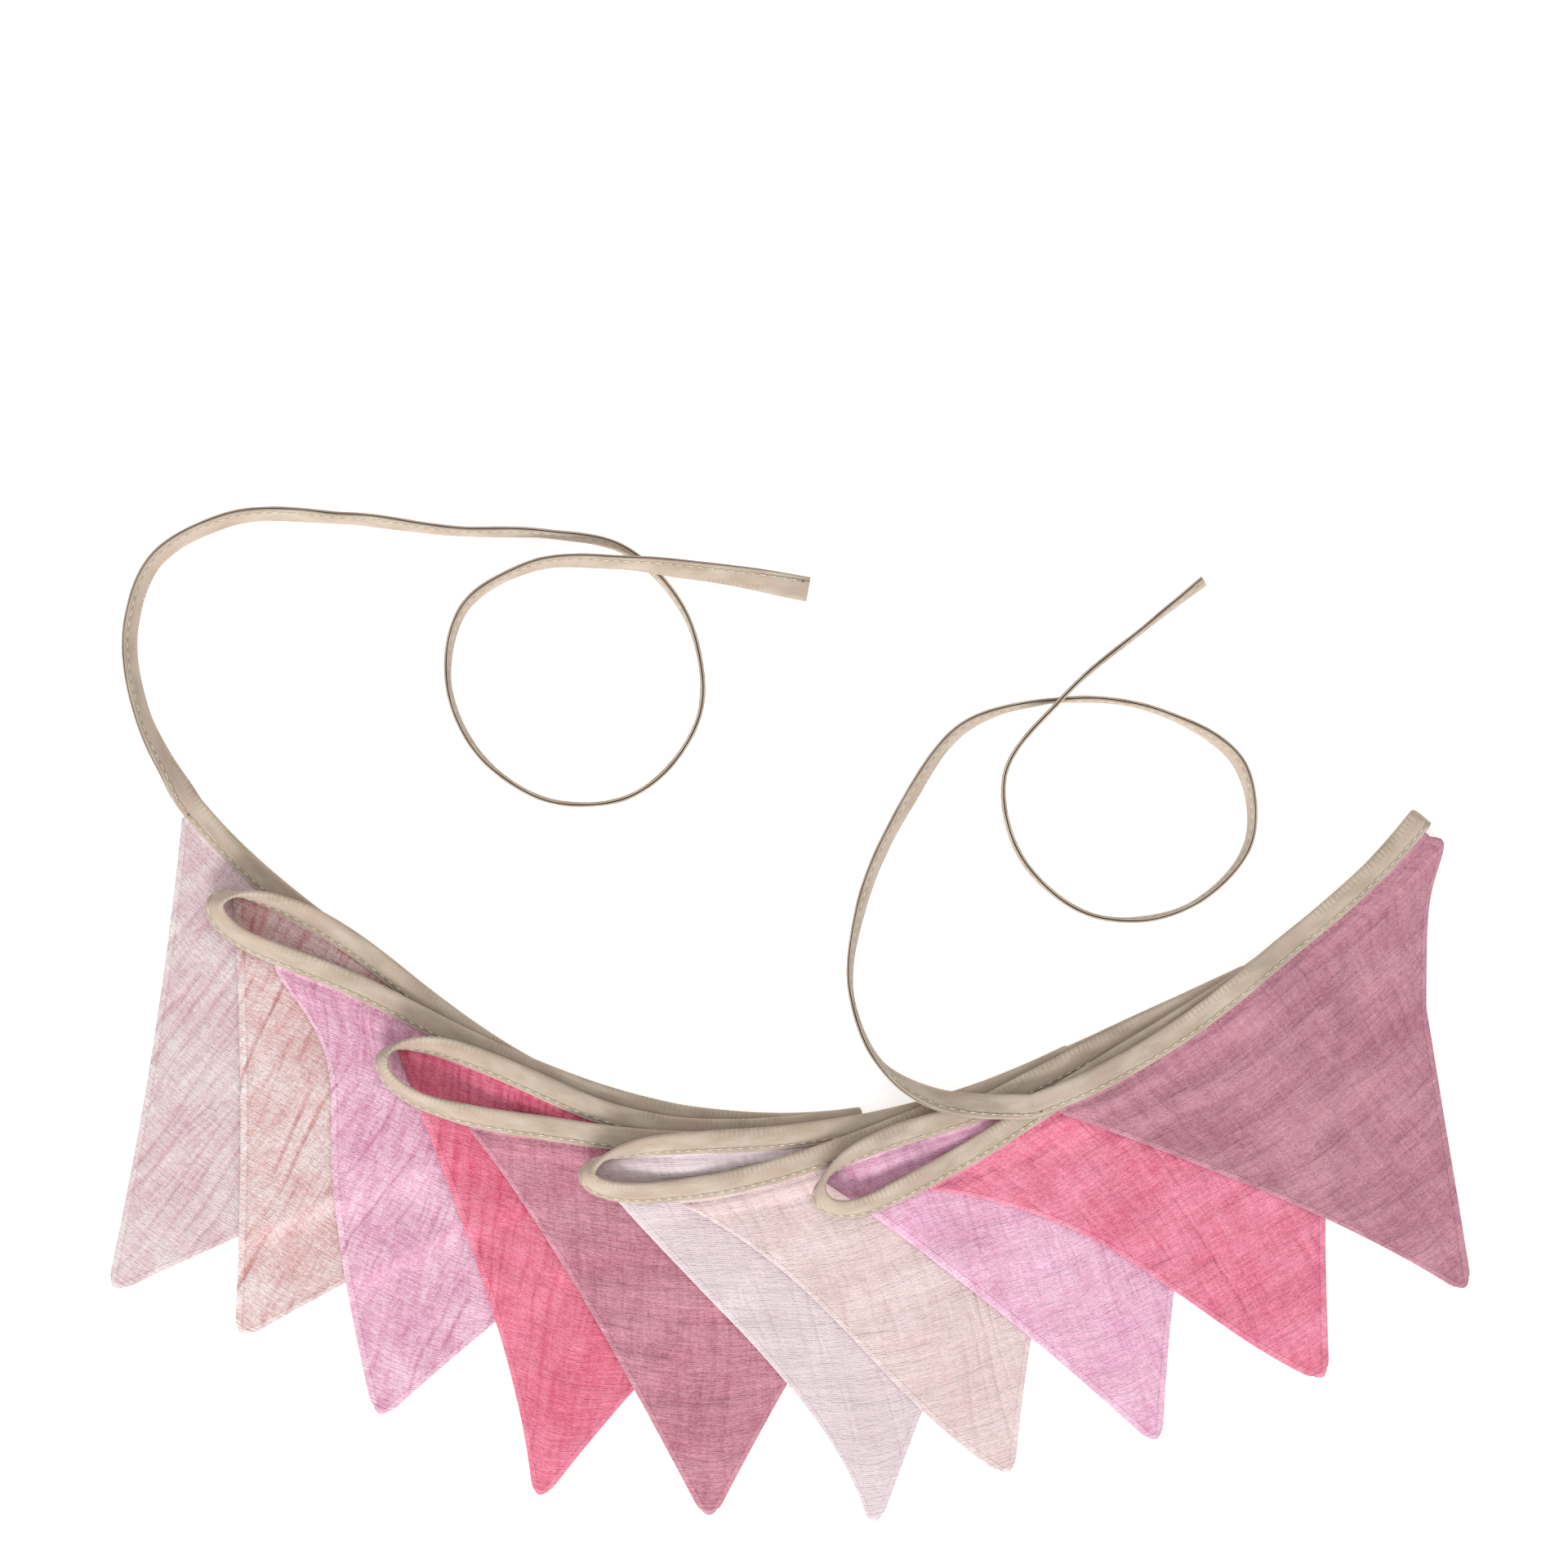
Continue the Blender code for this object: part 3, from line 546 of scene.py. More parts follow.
def lay_pennant(number, pennant, edge, across, up, pile):
    """(middle surface, flat places, attributes) of a pennant, as grids from the tape to the tip.

    edge and across are the tape's open edge and its direction to the fold; up, its upper side, is
    not used.
    """
    tip = np.array([pennant.tip_x, pennant.tip_y])
    side = normed(edge[-1, :2] - edge[0, :2])
    along = lengths_along(edge[:, :2])
    q = along / along[-1]
    blunt = tip + (2 * q - 1)[:, None] * TIP_WIDTH / 2 * side
    r = pennant_rows()[:, None, None]
    mouth = edge - MOUTH_ROOM * across
    first, last = np.clip(1 - 2 * q, 0, 1)[:, None], np.clip(2 * q - 1, 0, 1)[:, None]
    sides = (pennant.left, pennant.right)[:: (-1) ** number]
    inward = strays_in(sides[0], r) * first - strays_in(sides[1], r) * last
    plan = (1 - r) * mouth[:, :2] + r * blunt + inward * side
    at_tip = np.clip((r - TIP_ROUND_AT) / (1 - TIP_ROUND_AT), 0, 1)
    tip_round = TIP_ROUND * at_tip**2 * (2 * q - 1)[:, None] ** 2
    plan = plan - tip_round * normed(tip - (edge[0, :2] + edge[-1, :2]) / 2)

    held = np.concatenate([mouth, edge]) - [0, 0, GAP + CLOTH / 2]
    lie = pile.draped(held).between(plan) + GAP + CLOTH / 2
    v = r[:, :, 0] * PENNANT_DEPTH + 0 * q
    u = (0.5 + (q - 0.5) * (1 - v / PENNANT_DEPTH)) * along[-1]
    leaving = np.clip(v / MOUTH_REACH, 0, 1)
    leaving = leaving * leaving * (3 - 2 * leaving)
    z = mouth[:, 2] + (lie - mouth[:, 2]) * leaving
    height, *looks = creased(pennant, u, v, 100 + 10 * number)
    z = z + height
    outside_grid = np.concatenate([plan, z[:, :, None]], axis=2)

    inside = np.stack([edge + depth * across for depth in (TUCK, TUCK / 2, 0.0)])
    grid = np.concatenate([inside, outside_grid])
    inner_v = np.array([-TUCK, -TUCK / 2, -0.5])[:, None] + 0 * q
    flat_v = np.concatenate([inner_v, v])
    flat_u = np.concatenate([np.repeat(u[:1], 3, axis=0), u])
    sway, crease, trough = (
        np.concatenate([np.repeat(look[:1], 3, axis=0), look]) for look in looks
    )
    width = np.concatenate([np.ones((3, 1)), 1 - r[:, :, 0]]) * along[-1] + TIP_WIDTH
    from_side = np.minimum(q, 1 - q) * width * SIDE_SLANT
    hem = np.minimum(from_side, (PENNANT_DEPTH - flat_v) + TIP_HEM)
    attributes = (("sway", sway), ("crease", crease), ("trough", trough), ("hem", hem))
    return grid, np.stack([flat_u, flat_v], -1), attributes


def lay_all():
    """Lays each stretch of tape and then the pennant in it, from the bottom of the pile up."""
    pile = Pile()
    centres, acrosses, laid_pennants = [], [], []
    loop_end = None
    end_z = 0.0
    for run in runs_of_binding():
        before = FOLDS[run.number - 1] if run.number else None
        from_loop = before is not None and before.side == "loop"
        depth = TAPE_THICKNESS / 2
        needed = rest_height(pile.near(), run.plan, run.across, run.through, depth, SKIRT)
        needed[0] = max(needed[0], end_z)
        z = smooth_rest(run.stations, needed, TAPE_SLOPE)
        if run.ends_in("loop"):
            z = z + LOOP_RISE * np.clip((run.stations - run.last) / (run.end - run.last), 0, 1)
        if from_loop:
            z = z + (end_z - z[0]) * np.exp(-(run.stations - run.start) / SETTLING)
        centre = np.column_stack([run.plan, z])
        if before is not None and not from_loop:
            turn = crease_points(centres[-1][-1], centre[0], unit(before.heading))
            centres.append(turn)
            acrosses.append(np.repeat(run.across[:1], len(turn), axis=0))
        centres.append(centre[int(from_loop) :])
        acrosses.append(run.across[int(from_loop) :])
        end_z = z[-1]

        through = tape_normals(centre, run.across)
        columns = np.linspace(run.first, run.last, ACROSS + 1)
        edge = table_of(columns, run.stations, centre - TAPE_WIDTH / 2 * run.across)
        across = normed(table_of(columns, run.stations, run.across))
        up = table_of(columns, run.stations, through) * (-1) ** run.number
        pennant = lay_pennant(run.number, PENNANTS[run.number], edge, across, up, pile)
        laid_pennants.append(pennant)

        # The next stretch goes on from an open loop's end, so it must not climb over it.
        if loop_end is not None:
            pile.add(loop_end)
            loop_end = None
        laid = len(centre)
        if run.ends_in("loop"):
            laid = np.searchsorted(run.stations, run.end - LOOP_END)
            rest = slice(laid - 1, None)
            loop_end = outside(centre[rest], run.across[rest], through[rest], depth)
        pile.add(outside(centre[:laid], run.across[:laid], through[:laid], depth))
        grid = pennant[0][3:]
        for rows in (grid, (grid[1:] + grid[:-1]) / 2):
            for part in (rows, (rows[:, 1:] + rows[:, :-1]) / 2):
                pile.add(part + [0, 0, CLOTH / 2])
    return pile, np.concatenate(centres), np.concatenate(acrosses), laid_pennants


pile, tape_centre, tape_across, laid_pennants = lay_all()

# ------------------------------------------------------------------ the ties
# The same tape goes on past the first and the last pennant, stitched shut. Most of each tie
# stands on its folded edge and curls over the surface, and its end is cut straight across.

TIE_THICKNESS = 1.9
TIE_SLOPE = 0.18
TIE_LIFT = 0.3  # so that its uneven edge stays above the surface
TAIL_SHARE = 0.6  # where the part of a tie that crosses over the rest begins
TAIL_START = 16  # cross-sections before it, which it goes on from and doesn't climb over
TURNING = 8.0  # in which a tie turns from the binding's direction to its own
LEAN_ROUNDS = 12  # of softening

# Places along each tie, with its lean there: (x, y, lean).
LEFT_TIE = (
    (-235.0, 148.5, -42),
    (-246.4, 172.1, -61),
    (-250.5, 206.2, -61),
    (-242.1, 229.1, -63),
    (-215.1, 245.2, -64),
    (-169.3, 246.1, -66),
    (-126.5, 241.2, -74),
    (-91.8, 240.2, -78),
    (-64.5, 234.7, -76),
    (-39.7, 208.9, -84),
    (-35.0, 170.2, -90),
    (-61.4, 140.4, -89),
    (-92.4, 139.2, -88),
    (-120.3, 159.3, -88),
    (-130.2, 185.7, -86),
    (-124.0, 212.0, -78),
    (-98.6, 227.8, -69),
    (-64.5, 229.1, -61),
    (-42.8, 226.9, -51),
    (-21.1, 224.1, -38),
    (6.8, 219.2, -5),
)
RIGHT_TIE = (
    (83.0, 23.2, 0),
    (68.8, 23.7, -15),
    (55.6, 26.0, -35),
    (35.2, 38.0, -78),
    (23.2, 64.8, -88),
    (27.0, 98.9, -70),
    (44.0, 137.2, -60),
    (65.9, 166.6, -68),
    (102.0, 177.0, -86),
    (140.1, 172.7, -80),
    (171.1, 151.6, -68),
    (174.2, 123.7, -80),
    (152.5, 99.5, -86),
    (115.3, 95.2, -88),
    (87.4, 117.5, -94),
    (81.2, 148.5, -90),
    (102.0, 177.0, -90),
    (137.0, 206.5, -84),
    (157.2, 222.3, -70),
)


def smooth_through(places, knots, fine, first_ahead):
    """A cubic curve through the places, leaving the first in the given direction.

    Between two places it is the cubic that has, at each, that place and the slope between its
    neighbours.
    """
    slopes = np.gradient(places, knots, axis=0)
    slopes[0] = first_ahead
    low = np.clip(np.searchsorted(knots, fine, side="right") - 1, 0, len(knots) - 2)
    width = (knots[low + 1] - knots[low])[:, None]
    t = (fine - knots[low])[:, None] / width
    return (
        (2 * t**3 - 3 * t**2 + 1) * places[low]
        + (t**3 - 2 * t**2 + t) * width * slopes[low]
        + (3 * t**2 - 2 * t**3) * places[low + 1]
        + (t**3 - t**2) * width * slopes[low + 1]
    )


def lay_tie(rows, end, before):
    """The tie's centre line and across vectors, from the binding's end to the cut end."""
    outward = normed(end[0] - before)
    places = np.array([end[0][:2], *[row[:2] for row in rows]])
    knots = lengths_along(places)
    fine = np.linspace(0, knots[-1], round(knots[-1] / STEP))
    line = smooth_through(places, knots, fine, normed(outward[:2]))
    along = lengths_along(line)
    ahead = normed(np.gradient(line, along, axis=0))
    leans = np.interp(fine, knots, [LEAN, *[lean for x, y, lean in rows]])
    lean = np.radians(softened(leans, LEAN_ROUNDS))
    across, through = tape_frame(ahead, lean)

    # The tail crosses over the first part of the tie, so that is laid first.
    z = np.zeros(len(line))
    tail = round(len(line) * TAIL_SHARE)
    for part in (slice(0, tail), slice(tail, None)):
        section = (across[part], through[part], TIE_THICKNESS / 2)
        needed = rest_height(pile.near(), line[part], *section) + TIE_LIFT
        z[part] = smooth_rest(along[part], needed, TIE_SLOPE)
        if part.start == 0:
            z[part] += (end[0][2] - z[0]) * np.exp(-along[part] / SETTLING)
            across[part] += (end[1] - across[0]) * np.exp(-along[part] / TURNING)[:, None]
            across = normed(across)
        else:
            z[part] += (z[tail - 1] - z[tail]) * np.exp(-(along[part] - along[tail]) / SETTLING)
        laid = slice(0, tail - TAIL_START) if part.start == 0 else part
        points = np.column_stack([line[laid], z[laid]])
        pile.add(outside(points, across[laid], through[laid], TIE_THICKNESS / 2))
    centre = np.column_stack([line, z])
    centre[1] = centre[0] + np.linalg.norm(centre[1] - centre[0]) * outward
    return centre, across


left_tie = lay_tie(LEFT_TIE, (tape_centre[0], tape_across[0]), tape_centre[1])
right_tie = lay_tie(RIGHT_TIE, (tape_centre[-1], tape_across[-1]), tape_centre[-2])

# ------------------------------------------------------------------ the tape's cloth
# Beige cotton bias tape, folded in half, with turned-in lips. Its weave is close and matt, it
# puckers in small ribs towards the fold, and needle holes pit it along the stitching. Painted
# shadow darkens the seam's groove, the needle holes and the inside of the slot.

TAPE_LIGHT = "BCAE9E"
TAPE_DEEP = "9F8D7B"
TAPE_PINKISH = "B39A8C"
# painted shadow in the groove that the seam pulls in along the stitching
SEAM_GROOVE_SHADOW = "7F745E"
# painted shadow in the needle holes
NEEDLE_HOLE_SHADOW = "4A4234"
# painted shadow inside the slot between the tape's halves
SLOT_SHADOW = "705840"
STITCH_PITCH = 4.0
STITCH_INSET = 1.8  # from the open edge
RIB_PITCH = 1.9


def linear(hex_colour):
    """The colour of a paint card as the renderer's linear red, green, blue and alpha."""
    parts = [int(hex_colour[i : i + 2], 16) / 255 for i in (0, 2, 4)]
    return (*[p / 12.92 if p <= 0.04045 else ((p + 0.055) / 1.055) ** 2.4 for p in parts], 1.0)


class Nodes:
    """A material's nodes, added and joined in short calls."""

    def __init__(self, name):
        self.material = bpy.data.materials.new(name)
        self.material.use_nodes = True
        self.tree = self.material.node_tree
        self.surface = self.tree.nodes["Principled BSDF"]

    def put(self, value, socket):
        """A number or colour set on the socket, or another node's output joined to it."""
        if isinstance(value, bpy.types.NodeSocket):
            self.tree.links.new(value, socket)
        else:
            socket.default_value = value

    def math(self, operation, a, b=0.0, c=0.0, clamp=False):
        node = self.tree.nodes.new("ShaderNodeMath")
        node.operation = operation
        node.use_clamp = clamp
        for value, socket in zip((a, b, c), node.inputs):
            self.put(value, socket)
        return node.outputs[0]

    def times(self, a, b):
        return self.math("MULTIPLY", a, b)

    def plus(self, a, b):
        return self.math("ADD", a, b)

    def less(self, value):
        """1 less the value."""
        return self.math("SUBTRACT", 1.0, value)

    def flat(self, scale, slant=0.0):
        """The flat cloth's places, turned by slant, in cells of the given sizes in millimetres."""
        uv = self.tree.nodes.new("ShaderNodeUVMap")
        uv.uv_map = "flat"
        mapping = self.tree.nodes.new("ShaderNodeMapping")
        turn = self.tree.nodes.new("ShaderNodeMapping")
        turn.inputs["Rotation"].default_value = (0.0, 0.0, slant)
        self.put(uv.outputs["UV"], turn.inputs["Vector"])
        mapping.inputs["Scale"].default_value = (1000 / scale[0], 1000 / scale[1], 1.0)
        self.put(turn.outputs["Vector"], mapping.inputs["Vector"])
        return mapping.outputs["Vector"]

    def noise(self, vector, detail=2.0, roughness=0.5):
        node = self.tree.nodes.new("ShaderNodeTexNoise")
        node.noise_dimensions = "2D"
        node.inputs["Scale"].default_value = 1.0
        node.inputs["Detail"].default_value = detail
        node.inputs["Roughness"].default_value = roughness
        self.put(vector, node.inputs["Vector"])
        return node.outputs["Fac"]

    def ramp(self, value, low, high):
        """0 below low, 1 above high, and an S-curve between."""
        node = self.tree.nodes.new("ShaderNodeMapRange")
        node.interpolation_type = "SMOOTHSTEP"
        node.inputs["From Min"].default_value = low
        node.inputs["From Max"].default_value = high
        self.put(value, node.inputs["Value"])
        return node.outputs["Result"]

    def valley(self, value, width, middle=0.5):
        """1 where the value passes the middle, and 0 further from it than the width."""
        away = self.math("ABSOLUTE", self.math("SUBTRACT", value, middle))
        return self.less(self.ramp(away, 0.0, width))

    def comb(self, value, pitch, width):
        """1 at every whole number of pitches, and 0 further from it than the width."""
        turn = self.math("FRACT", self.plus(self.math("DIVIDE", value, pitch), 0.5))
        return self.valley(turn, width / pitch)

    def mix(self, share, a, b):
        node = self.tree.nodes.new("ShaderNodeMix")
        node.data_type = "RGBA"
        self.put(share, node.inputs[0])
        self.put(a, node.inputs[6])
        self.put(b, node.inputs[7])
        return node.outputs[2]

    def attribute(self, name):
        node = self.tree.nodes.new("ShaderNodeAttribute")
        node.attribute_name = name
        return node.outputs["Fac"]

    def axis(self, vector, which):
        node = self.tree.nodes.new("ShaderNodeSeparateXYZ")
        self.put(vector, node.inputs[0])
        return node.outputs[which]

    def bump(self, height, distance, normal=None):
        node = self.tree.nodes.new("ShaderNodeBump")
        node.inputs["Strength"].default_value = 1.0
        node.inputs["Distance"].default_value = distance * MM
        self.put(height, node.inputs["Height"])
        if normal is not None:
            self.put(normal, node.inputs["Normal"])
        return node.outputs["Normal"]

    def finish(self, colour, relief, looks):
        """The colour and relief joined to the surface, and its other sockets set."""
        self.put(colour, self.surface.inputs["Base Color"])
        self.put(relief, self.surface.inputs["Normal"])
        for socket, look in looks:
            self.surface.inputs[socket].default_value = look
        return self.material


def tape_material():
    """u runs along the tape, and v from the open edge to the fold on either face."""
    n = Nodes("beige_bias_tape")
    place = n.flat((1.0, 1.0))
    u, v = n.axis(place, 0), n.axis(place, 1)
    weave = n.noise(n.flat((0.45, 0.45)), 1.0)
    patch = n.noise(n.flat((14.0, 5.0)), 2.0)
    pinkish = n.ramp(n.noise(n.flat((22.0, 7.0)), 1.0), 0.42, 0.68)
    uneven = n.plus(u, n.times(n.noise(n.flat((2.5, 9.0)), 1.0), 1.6))
    rib_wave = n.math("SINE", n.times(uneven, 2 * math.pi / RIB_PITCH))
    puckered = n.ramp(n.noise(n.flat((60.0, 60.0)), 0.0), 0.40, 0.60)
    rib_place = n.times(n.ramp(v, 5.6, 7.6), puckered)
    ribs = n.times(rib_wave, rib_place)
    lip = n.ramp(n.math("ABSOLUTE", n.math("SUBTRACT", v, STITCH_INSET)), 0.0, 0.8)
    # seam: where painted shadow darkens the groove along the stitching
    seam = n.less(lip)
    # hole: dark dots of painted shadow where the needle holes are
    turn = n.times(n.math("SUBTRACT", u, 0.5), 2 * math.pi / STITCH_PITCH)
    hole = n.times(n.ramp(n.math("COSINE", turn), 0.55, 0.92), seam)
    tone = n.plus(n.times(patch, 0.6), n.times(weave, 0.35))
    tone = n.plus(tone, n.times(ribs, 0.06))
    # slot: painted shadow on the inner faces, deep inside the slot
    slot = n.less(n.ramp(v, -1.4, -0.1))
    colour = n.mix(n.ramp(tone, 0.25, 0.75), linear(TAPE_LIGHT), linear(TAPE_DEEP))
    for part, share, shade in (
        (pinkish, 0.5, TAPE_PINKISH),
        (seam, 0.40, SEAM_GROOVE_SHADOW),
        (hole, 0.95, NEEDLE_HOLE_SHADOW),
        (slot, 0.9, SLOT_SHADOW),
    ):
        colour = n.mix(n.times(part, share), colour, linear(shade))
    relief = None
    for part, depth in ((weave, 0.10), (ribs, 0.07), (lip, 0.30)):
        relief = n.bump(part, depth, relief)
    sheen = (("Sheen Weight", 0.15), ("Sheen Roughness", 0.5))
    return n.finish(colour, relief, (("Roughness", 0.9), *sheen))


TAPE_CLOTH = tape_material()


SEAM_HEIGHT = 0.80  # of half the tape's thickness, where the seam pulls it in
SLOT_DEPTH = 8.4  # from the open edge
SHARP_ANGLE = 60  # between faces, as round a cut end
THINNING = 12.0  # in which the tape thins to either end


def tape_profile(thickness, slot):
    """(a, b, v) round the tape's cross-section: a from the middle to the fold, b through it.

    v is the distance from the open edge along the cloth: above 0 outside, and below 0 inside.
    """
    half = TAPE_WIDTH / 2
    t = thickness / 2
    from_edge = np.array([0.02, 0.22, 0.75, STITCH_INSET, 2.2, 3.75, 5.95, 7.75, 8.75, 9.3])
    height = np.array([0.62, 0.88, 0.96, SEAM_HEIGHT, 0.96, 1.0, 1.0, 0.92, 0.72, 0.42])
    outer = np.stack([from_edge - half, height * t], -1)
    inner = np.array([[-half + 0.10, slot], [-half + 1.2, slot], [0.0, slot], [3.0, slot]])
    outer_v = np.append(from_edge, half * 2)
    fold, bottom, under = [[half, 0.0]], [[3.6, 0.0]], [1, -1]
    ring = np.concatenate([outer, fold, outer[::-1] * under, inner * under, bottom, inner[::-1]])
    inner_v = -(inner[:, 0] + half) - 0.1
    v = np.concatenate([outer_v, outer_v[-2::-1], inner_v, [-SLOT_DEPTH], inner_v[::-1]])
    return ring, v


def mesh_object(name, points, faces, uv, material, attributes=()):
    """An object from points in millimetres, quads and triangles, and a UV place for each point."""
    mesh = bpy.data.meshes.new(name)
    mesh.from_pydata(((points - MIDDLE) * MM).tolist(), [], faces)
    layer = mesh.uv_layers.new(name="flat")
    corner = np.empty(len(mesh.loops), np.int32)
    mesh.loops.foreach_get("vertex_index", corner)
    layer.data.foreach_set("uv", (uv[corner] * MM).astype(np.float32).ravel())
    for label, values in attributes:
        made = mesh.attributes.new(label, "FLOAT", "POINT")
        made.data.foreach_set("value", values.astype(np.float32).ravel())
    mesh.shade_smooth()
    mesh.materials.append(material)
    obj = bpy.data.objects.new(name, mesh)
    scene.collection.objects.link(obj)
    return obj


def tube_faces(rings, around):
    """Quads between neighbouring rings of points, with each end closed by one face."""
    i, j = np.meshgrid(np.arange(rings - 1), np.arange(around), indexing="ij")
    k = (j + 1) % around
    this, other = i * around, (i + 1) * around
    quads = np.stack([this + j, this + k, other + k, other + j], -1)
    last = (rings - 1) * around
    caps = [list(range(around))[::-1], list(range(last, last + around))]
    return quads.reshape(-1, 4).tolist() + caps


def tape_mesh(name, centre, across, flat_u, thickness, slot, seed, end_share=1.0):
    """The profile carried along the centre line, a little uneven in width, height and twist.

    flat_u is each section's place on the flat strip. end_share is how thick the tape is at either
    end, as a share of the rest.
    """
    through = tape_normals(centre, across)
    along = lengths_along(centre)
    level = np.zeros_like(along)
    swell = (
        1
        + 0.05 * rumple(along, level, 9, 1, seed)
        + 0.04 * rumple(along, level, 3.1, 1, seed + 1)
    )
    tilt = 0.05 * rumple(along, level, 16, 1, seed + 2)
    ends = np.clip(np.minimum(along, along[-1] - along) / THINNING, 0, 1)
    swell, tilt = 1 + (swell - 1) * ends, tilt * ends
    swell = swell * (end_share + (1 - end_share) * ends)
    a, b = normed(across + tilt[:, None] * through), normed(through - tilt[:, None] * across)
    ring, v = tape_profile(thickness, slot)
    points = (
        centre[:, None]
        + ring[:, 0][None, :, None] * a[:, None]
        + (swell[:, None] * ring[:, 1])[:, :, None] * b[:, None]
    )
    uv = np.stack(np.broadcast_arrays(flat_u[:, None], v[None, :]), -1)
    faces = tube_faces(len(centre), len(ring))
    tape = mesh_object(name, points.reshape(-1, 3), faces, uv.reshape(-1, 2), TAPE_CLOTH)
    tape.data.set_sharp_from_angle(angle=math.radians(SHARP_ANGLE))
    return tape, a, b, swell


STITCH_START = 0.62  # of a pitch
STITCH_LENGTH = 0.66  # of a pitch
THREAD_RADIUS = 0.25


def stitch_points(centre, a, b, swell, thickness, face):
    """Short dashes of thread along the open edge of one face: half sunk, their ends in the holes.

    Each is a bow of five rings of four points, as thick as the thread in its middle.
    """
    along = lengths_along(centre)
    count = int(along[-1] // STITCH_PITCH) - 1
    start = (np.arange(count) + STITCH_START) * STITCH_PITCH
    share = np.array([0.0, 0.12, 0.5, 0.88, 1.0])
    girth = np.array([0.35, 0.9, 1.0, 0.9, 0.35]) * THREAD_RADIUS
    lift = np.array([-0.22, 0.02, 0.10, 0.02, -0.22])
    at = start[:, None] + share * STITCH_PITCH * STITCH_LENGTH
    middle, over, out = (table_of(at, along, values) for values in (centre, a, b))
    out = out * face
    height = np.interp(at, along, swell) * thickness / 2 * SEAM_HEIGHT + lift
    middle = middle + (STITCH_INSET - TAPE_WIDTH / 2) * over + height[:, :, None] * out
    turn = np.radians([45, 135, 225, 315])
    ring = np.cos(turn)[None, None, :, None] * over[:, :, None] * face
    ring = ring + np.sin(turn)[None, None, :, None] * out[:, :, None]
    return middle[:, :, None] + girth[None, :, None, None] * ring


THREAD_LIGHT = "EAE3D0"
THREAD_DEEP = "C9BE9F"


def thread_material():
    """Cream cotton thread, darker between its twists."""
    n = Nodes("cream_thread")
    twist = n.noise(n.flat((0.5, 0.5)), 1.0)
    colour = n.mix(twist, linear(THREAD_LIGHT), linear(THREAD_DEEP))
    return n.finish(colour, n.bump(twist, 0.05), (("Roughness", 0.6),))


THREAD = thread_material()


def stitch_mesh(name, groups):
    """All the dashes of one seam as one object of small closed bodies."""
    dashes = np.concatenate(groups)
    count = len(dashes)
    one = np.array(tube_faces(5, 4)[:-2])
    caps = np.array([[3, 2, 1, 0], [16, 17, 18, 19]])
    first = 20 * np.arange(count)[:, None, None]
    faces = (np.concatenate([one, caps])[None] + first).reshape(-1, 4).tolist()
    points = dashes.reshape(-1, 3)
    return mesh_object(name, points, faces, points[:, :2], THREAD)


# ------------------------------------------------------------------ making the ties
# Each tie is a length of that tape, closed by stitching that shows on both faces. The tape's
# pattern runs on from the binding into it, and its far end is bare.

TIE_SLOT = 0.22  # half the room between the halves
BINDING_U = lengths_along(tape_centre)
LEFT_U = -lengths_along(left_tie[0])
RIGHT_U = BINDING_U[-1] + lengths_along(right_tie[0])
TIES = (("tie_left", left_tie, LEFT_U, 10), ("tie_right", right_tie, RIGHT_U, 20))
for name, (centre, across), flat_u, seed in TIES:
    tie, a, b, swell = tape_mesh(
        name + "_tape", centre, across, flat_u, TIE_THICKNESS, TIE_SLOT, seed
    )
    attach(tie, "root")
    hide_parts(name)
    seam = stitch_mesh(
        name + "_stitching",
        [stitch_points(centre, a, b, swell, TIE_THICKNESS, face) for face in (1, -1)],
    )
    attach(seam, "root")

# ------------------------------------------------------------------ the binding
# One strip of the same tape over all ten top edges, closed by a row of straight stitching near
# its open edge, which shows on both faces.

SLOT = 0.46  # half the room for the cloth between the halves
BINDING_SEED = 30

binding, a, b, swell = tape_mesh(
    "binding_tape",
    tape_centre,
    tape_across,
    BINDING_U,
    TAPE_THICKNESS,
    SLOT,
    BINDING_SEED,
    TIE_THICKNESS / TAPE_THICKNESS,
)
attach(binding, "root")
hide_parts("binding")
binding_seam = stitch_mesh(
    "binding_stitching",
    [stitch_points(tape_centre, a, b, swell, TAPE_THICKNESS, face) for face in (1, -1)],
)
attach(binding_seam, "root")

# ------------------------------------------------------------------ the pennants' cloth
# Crinkled cotton double gauze: short dashes of thread in rows along the tape, uneven dye,
# painted shade in the troughs of the gathers, along the creases and crinkles and near the tape,
# and a paler band where the seam allowance lies inside.

ROW_PITCH = 0.85  # of the weave
CRINKLE_PITCH = 3.1
ALLOWANCE = (1.8, 3.4)  # from the cloth's edge, between which the allowance fades out
SEAM_LINE = 2.9  # from the cloth's edge


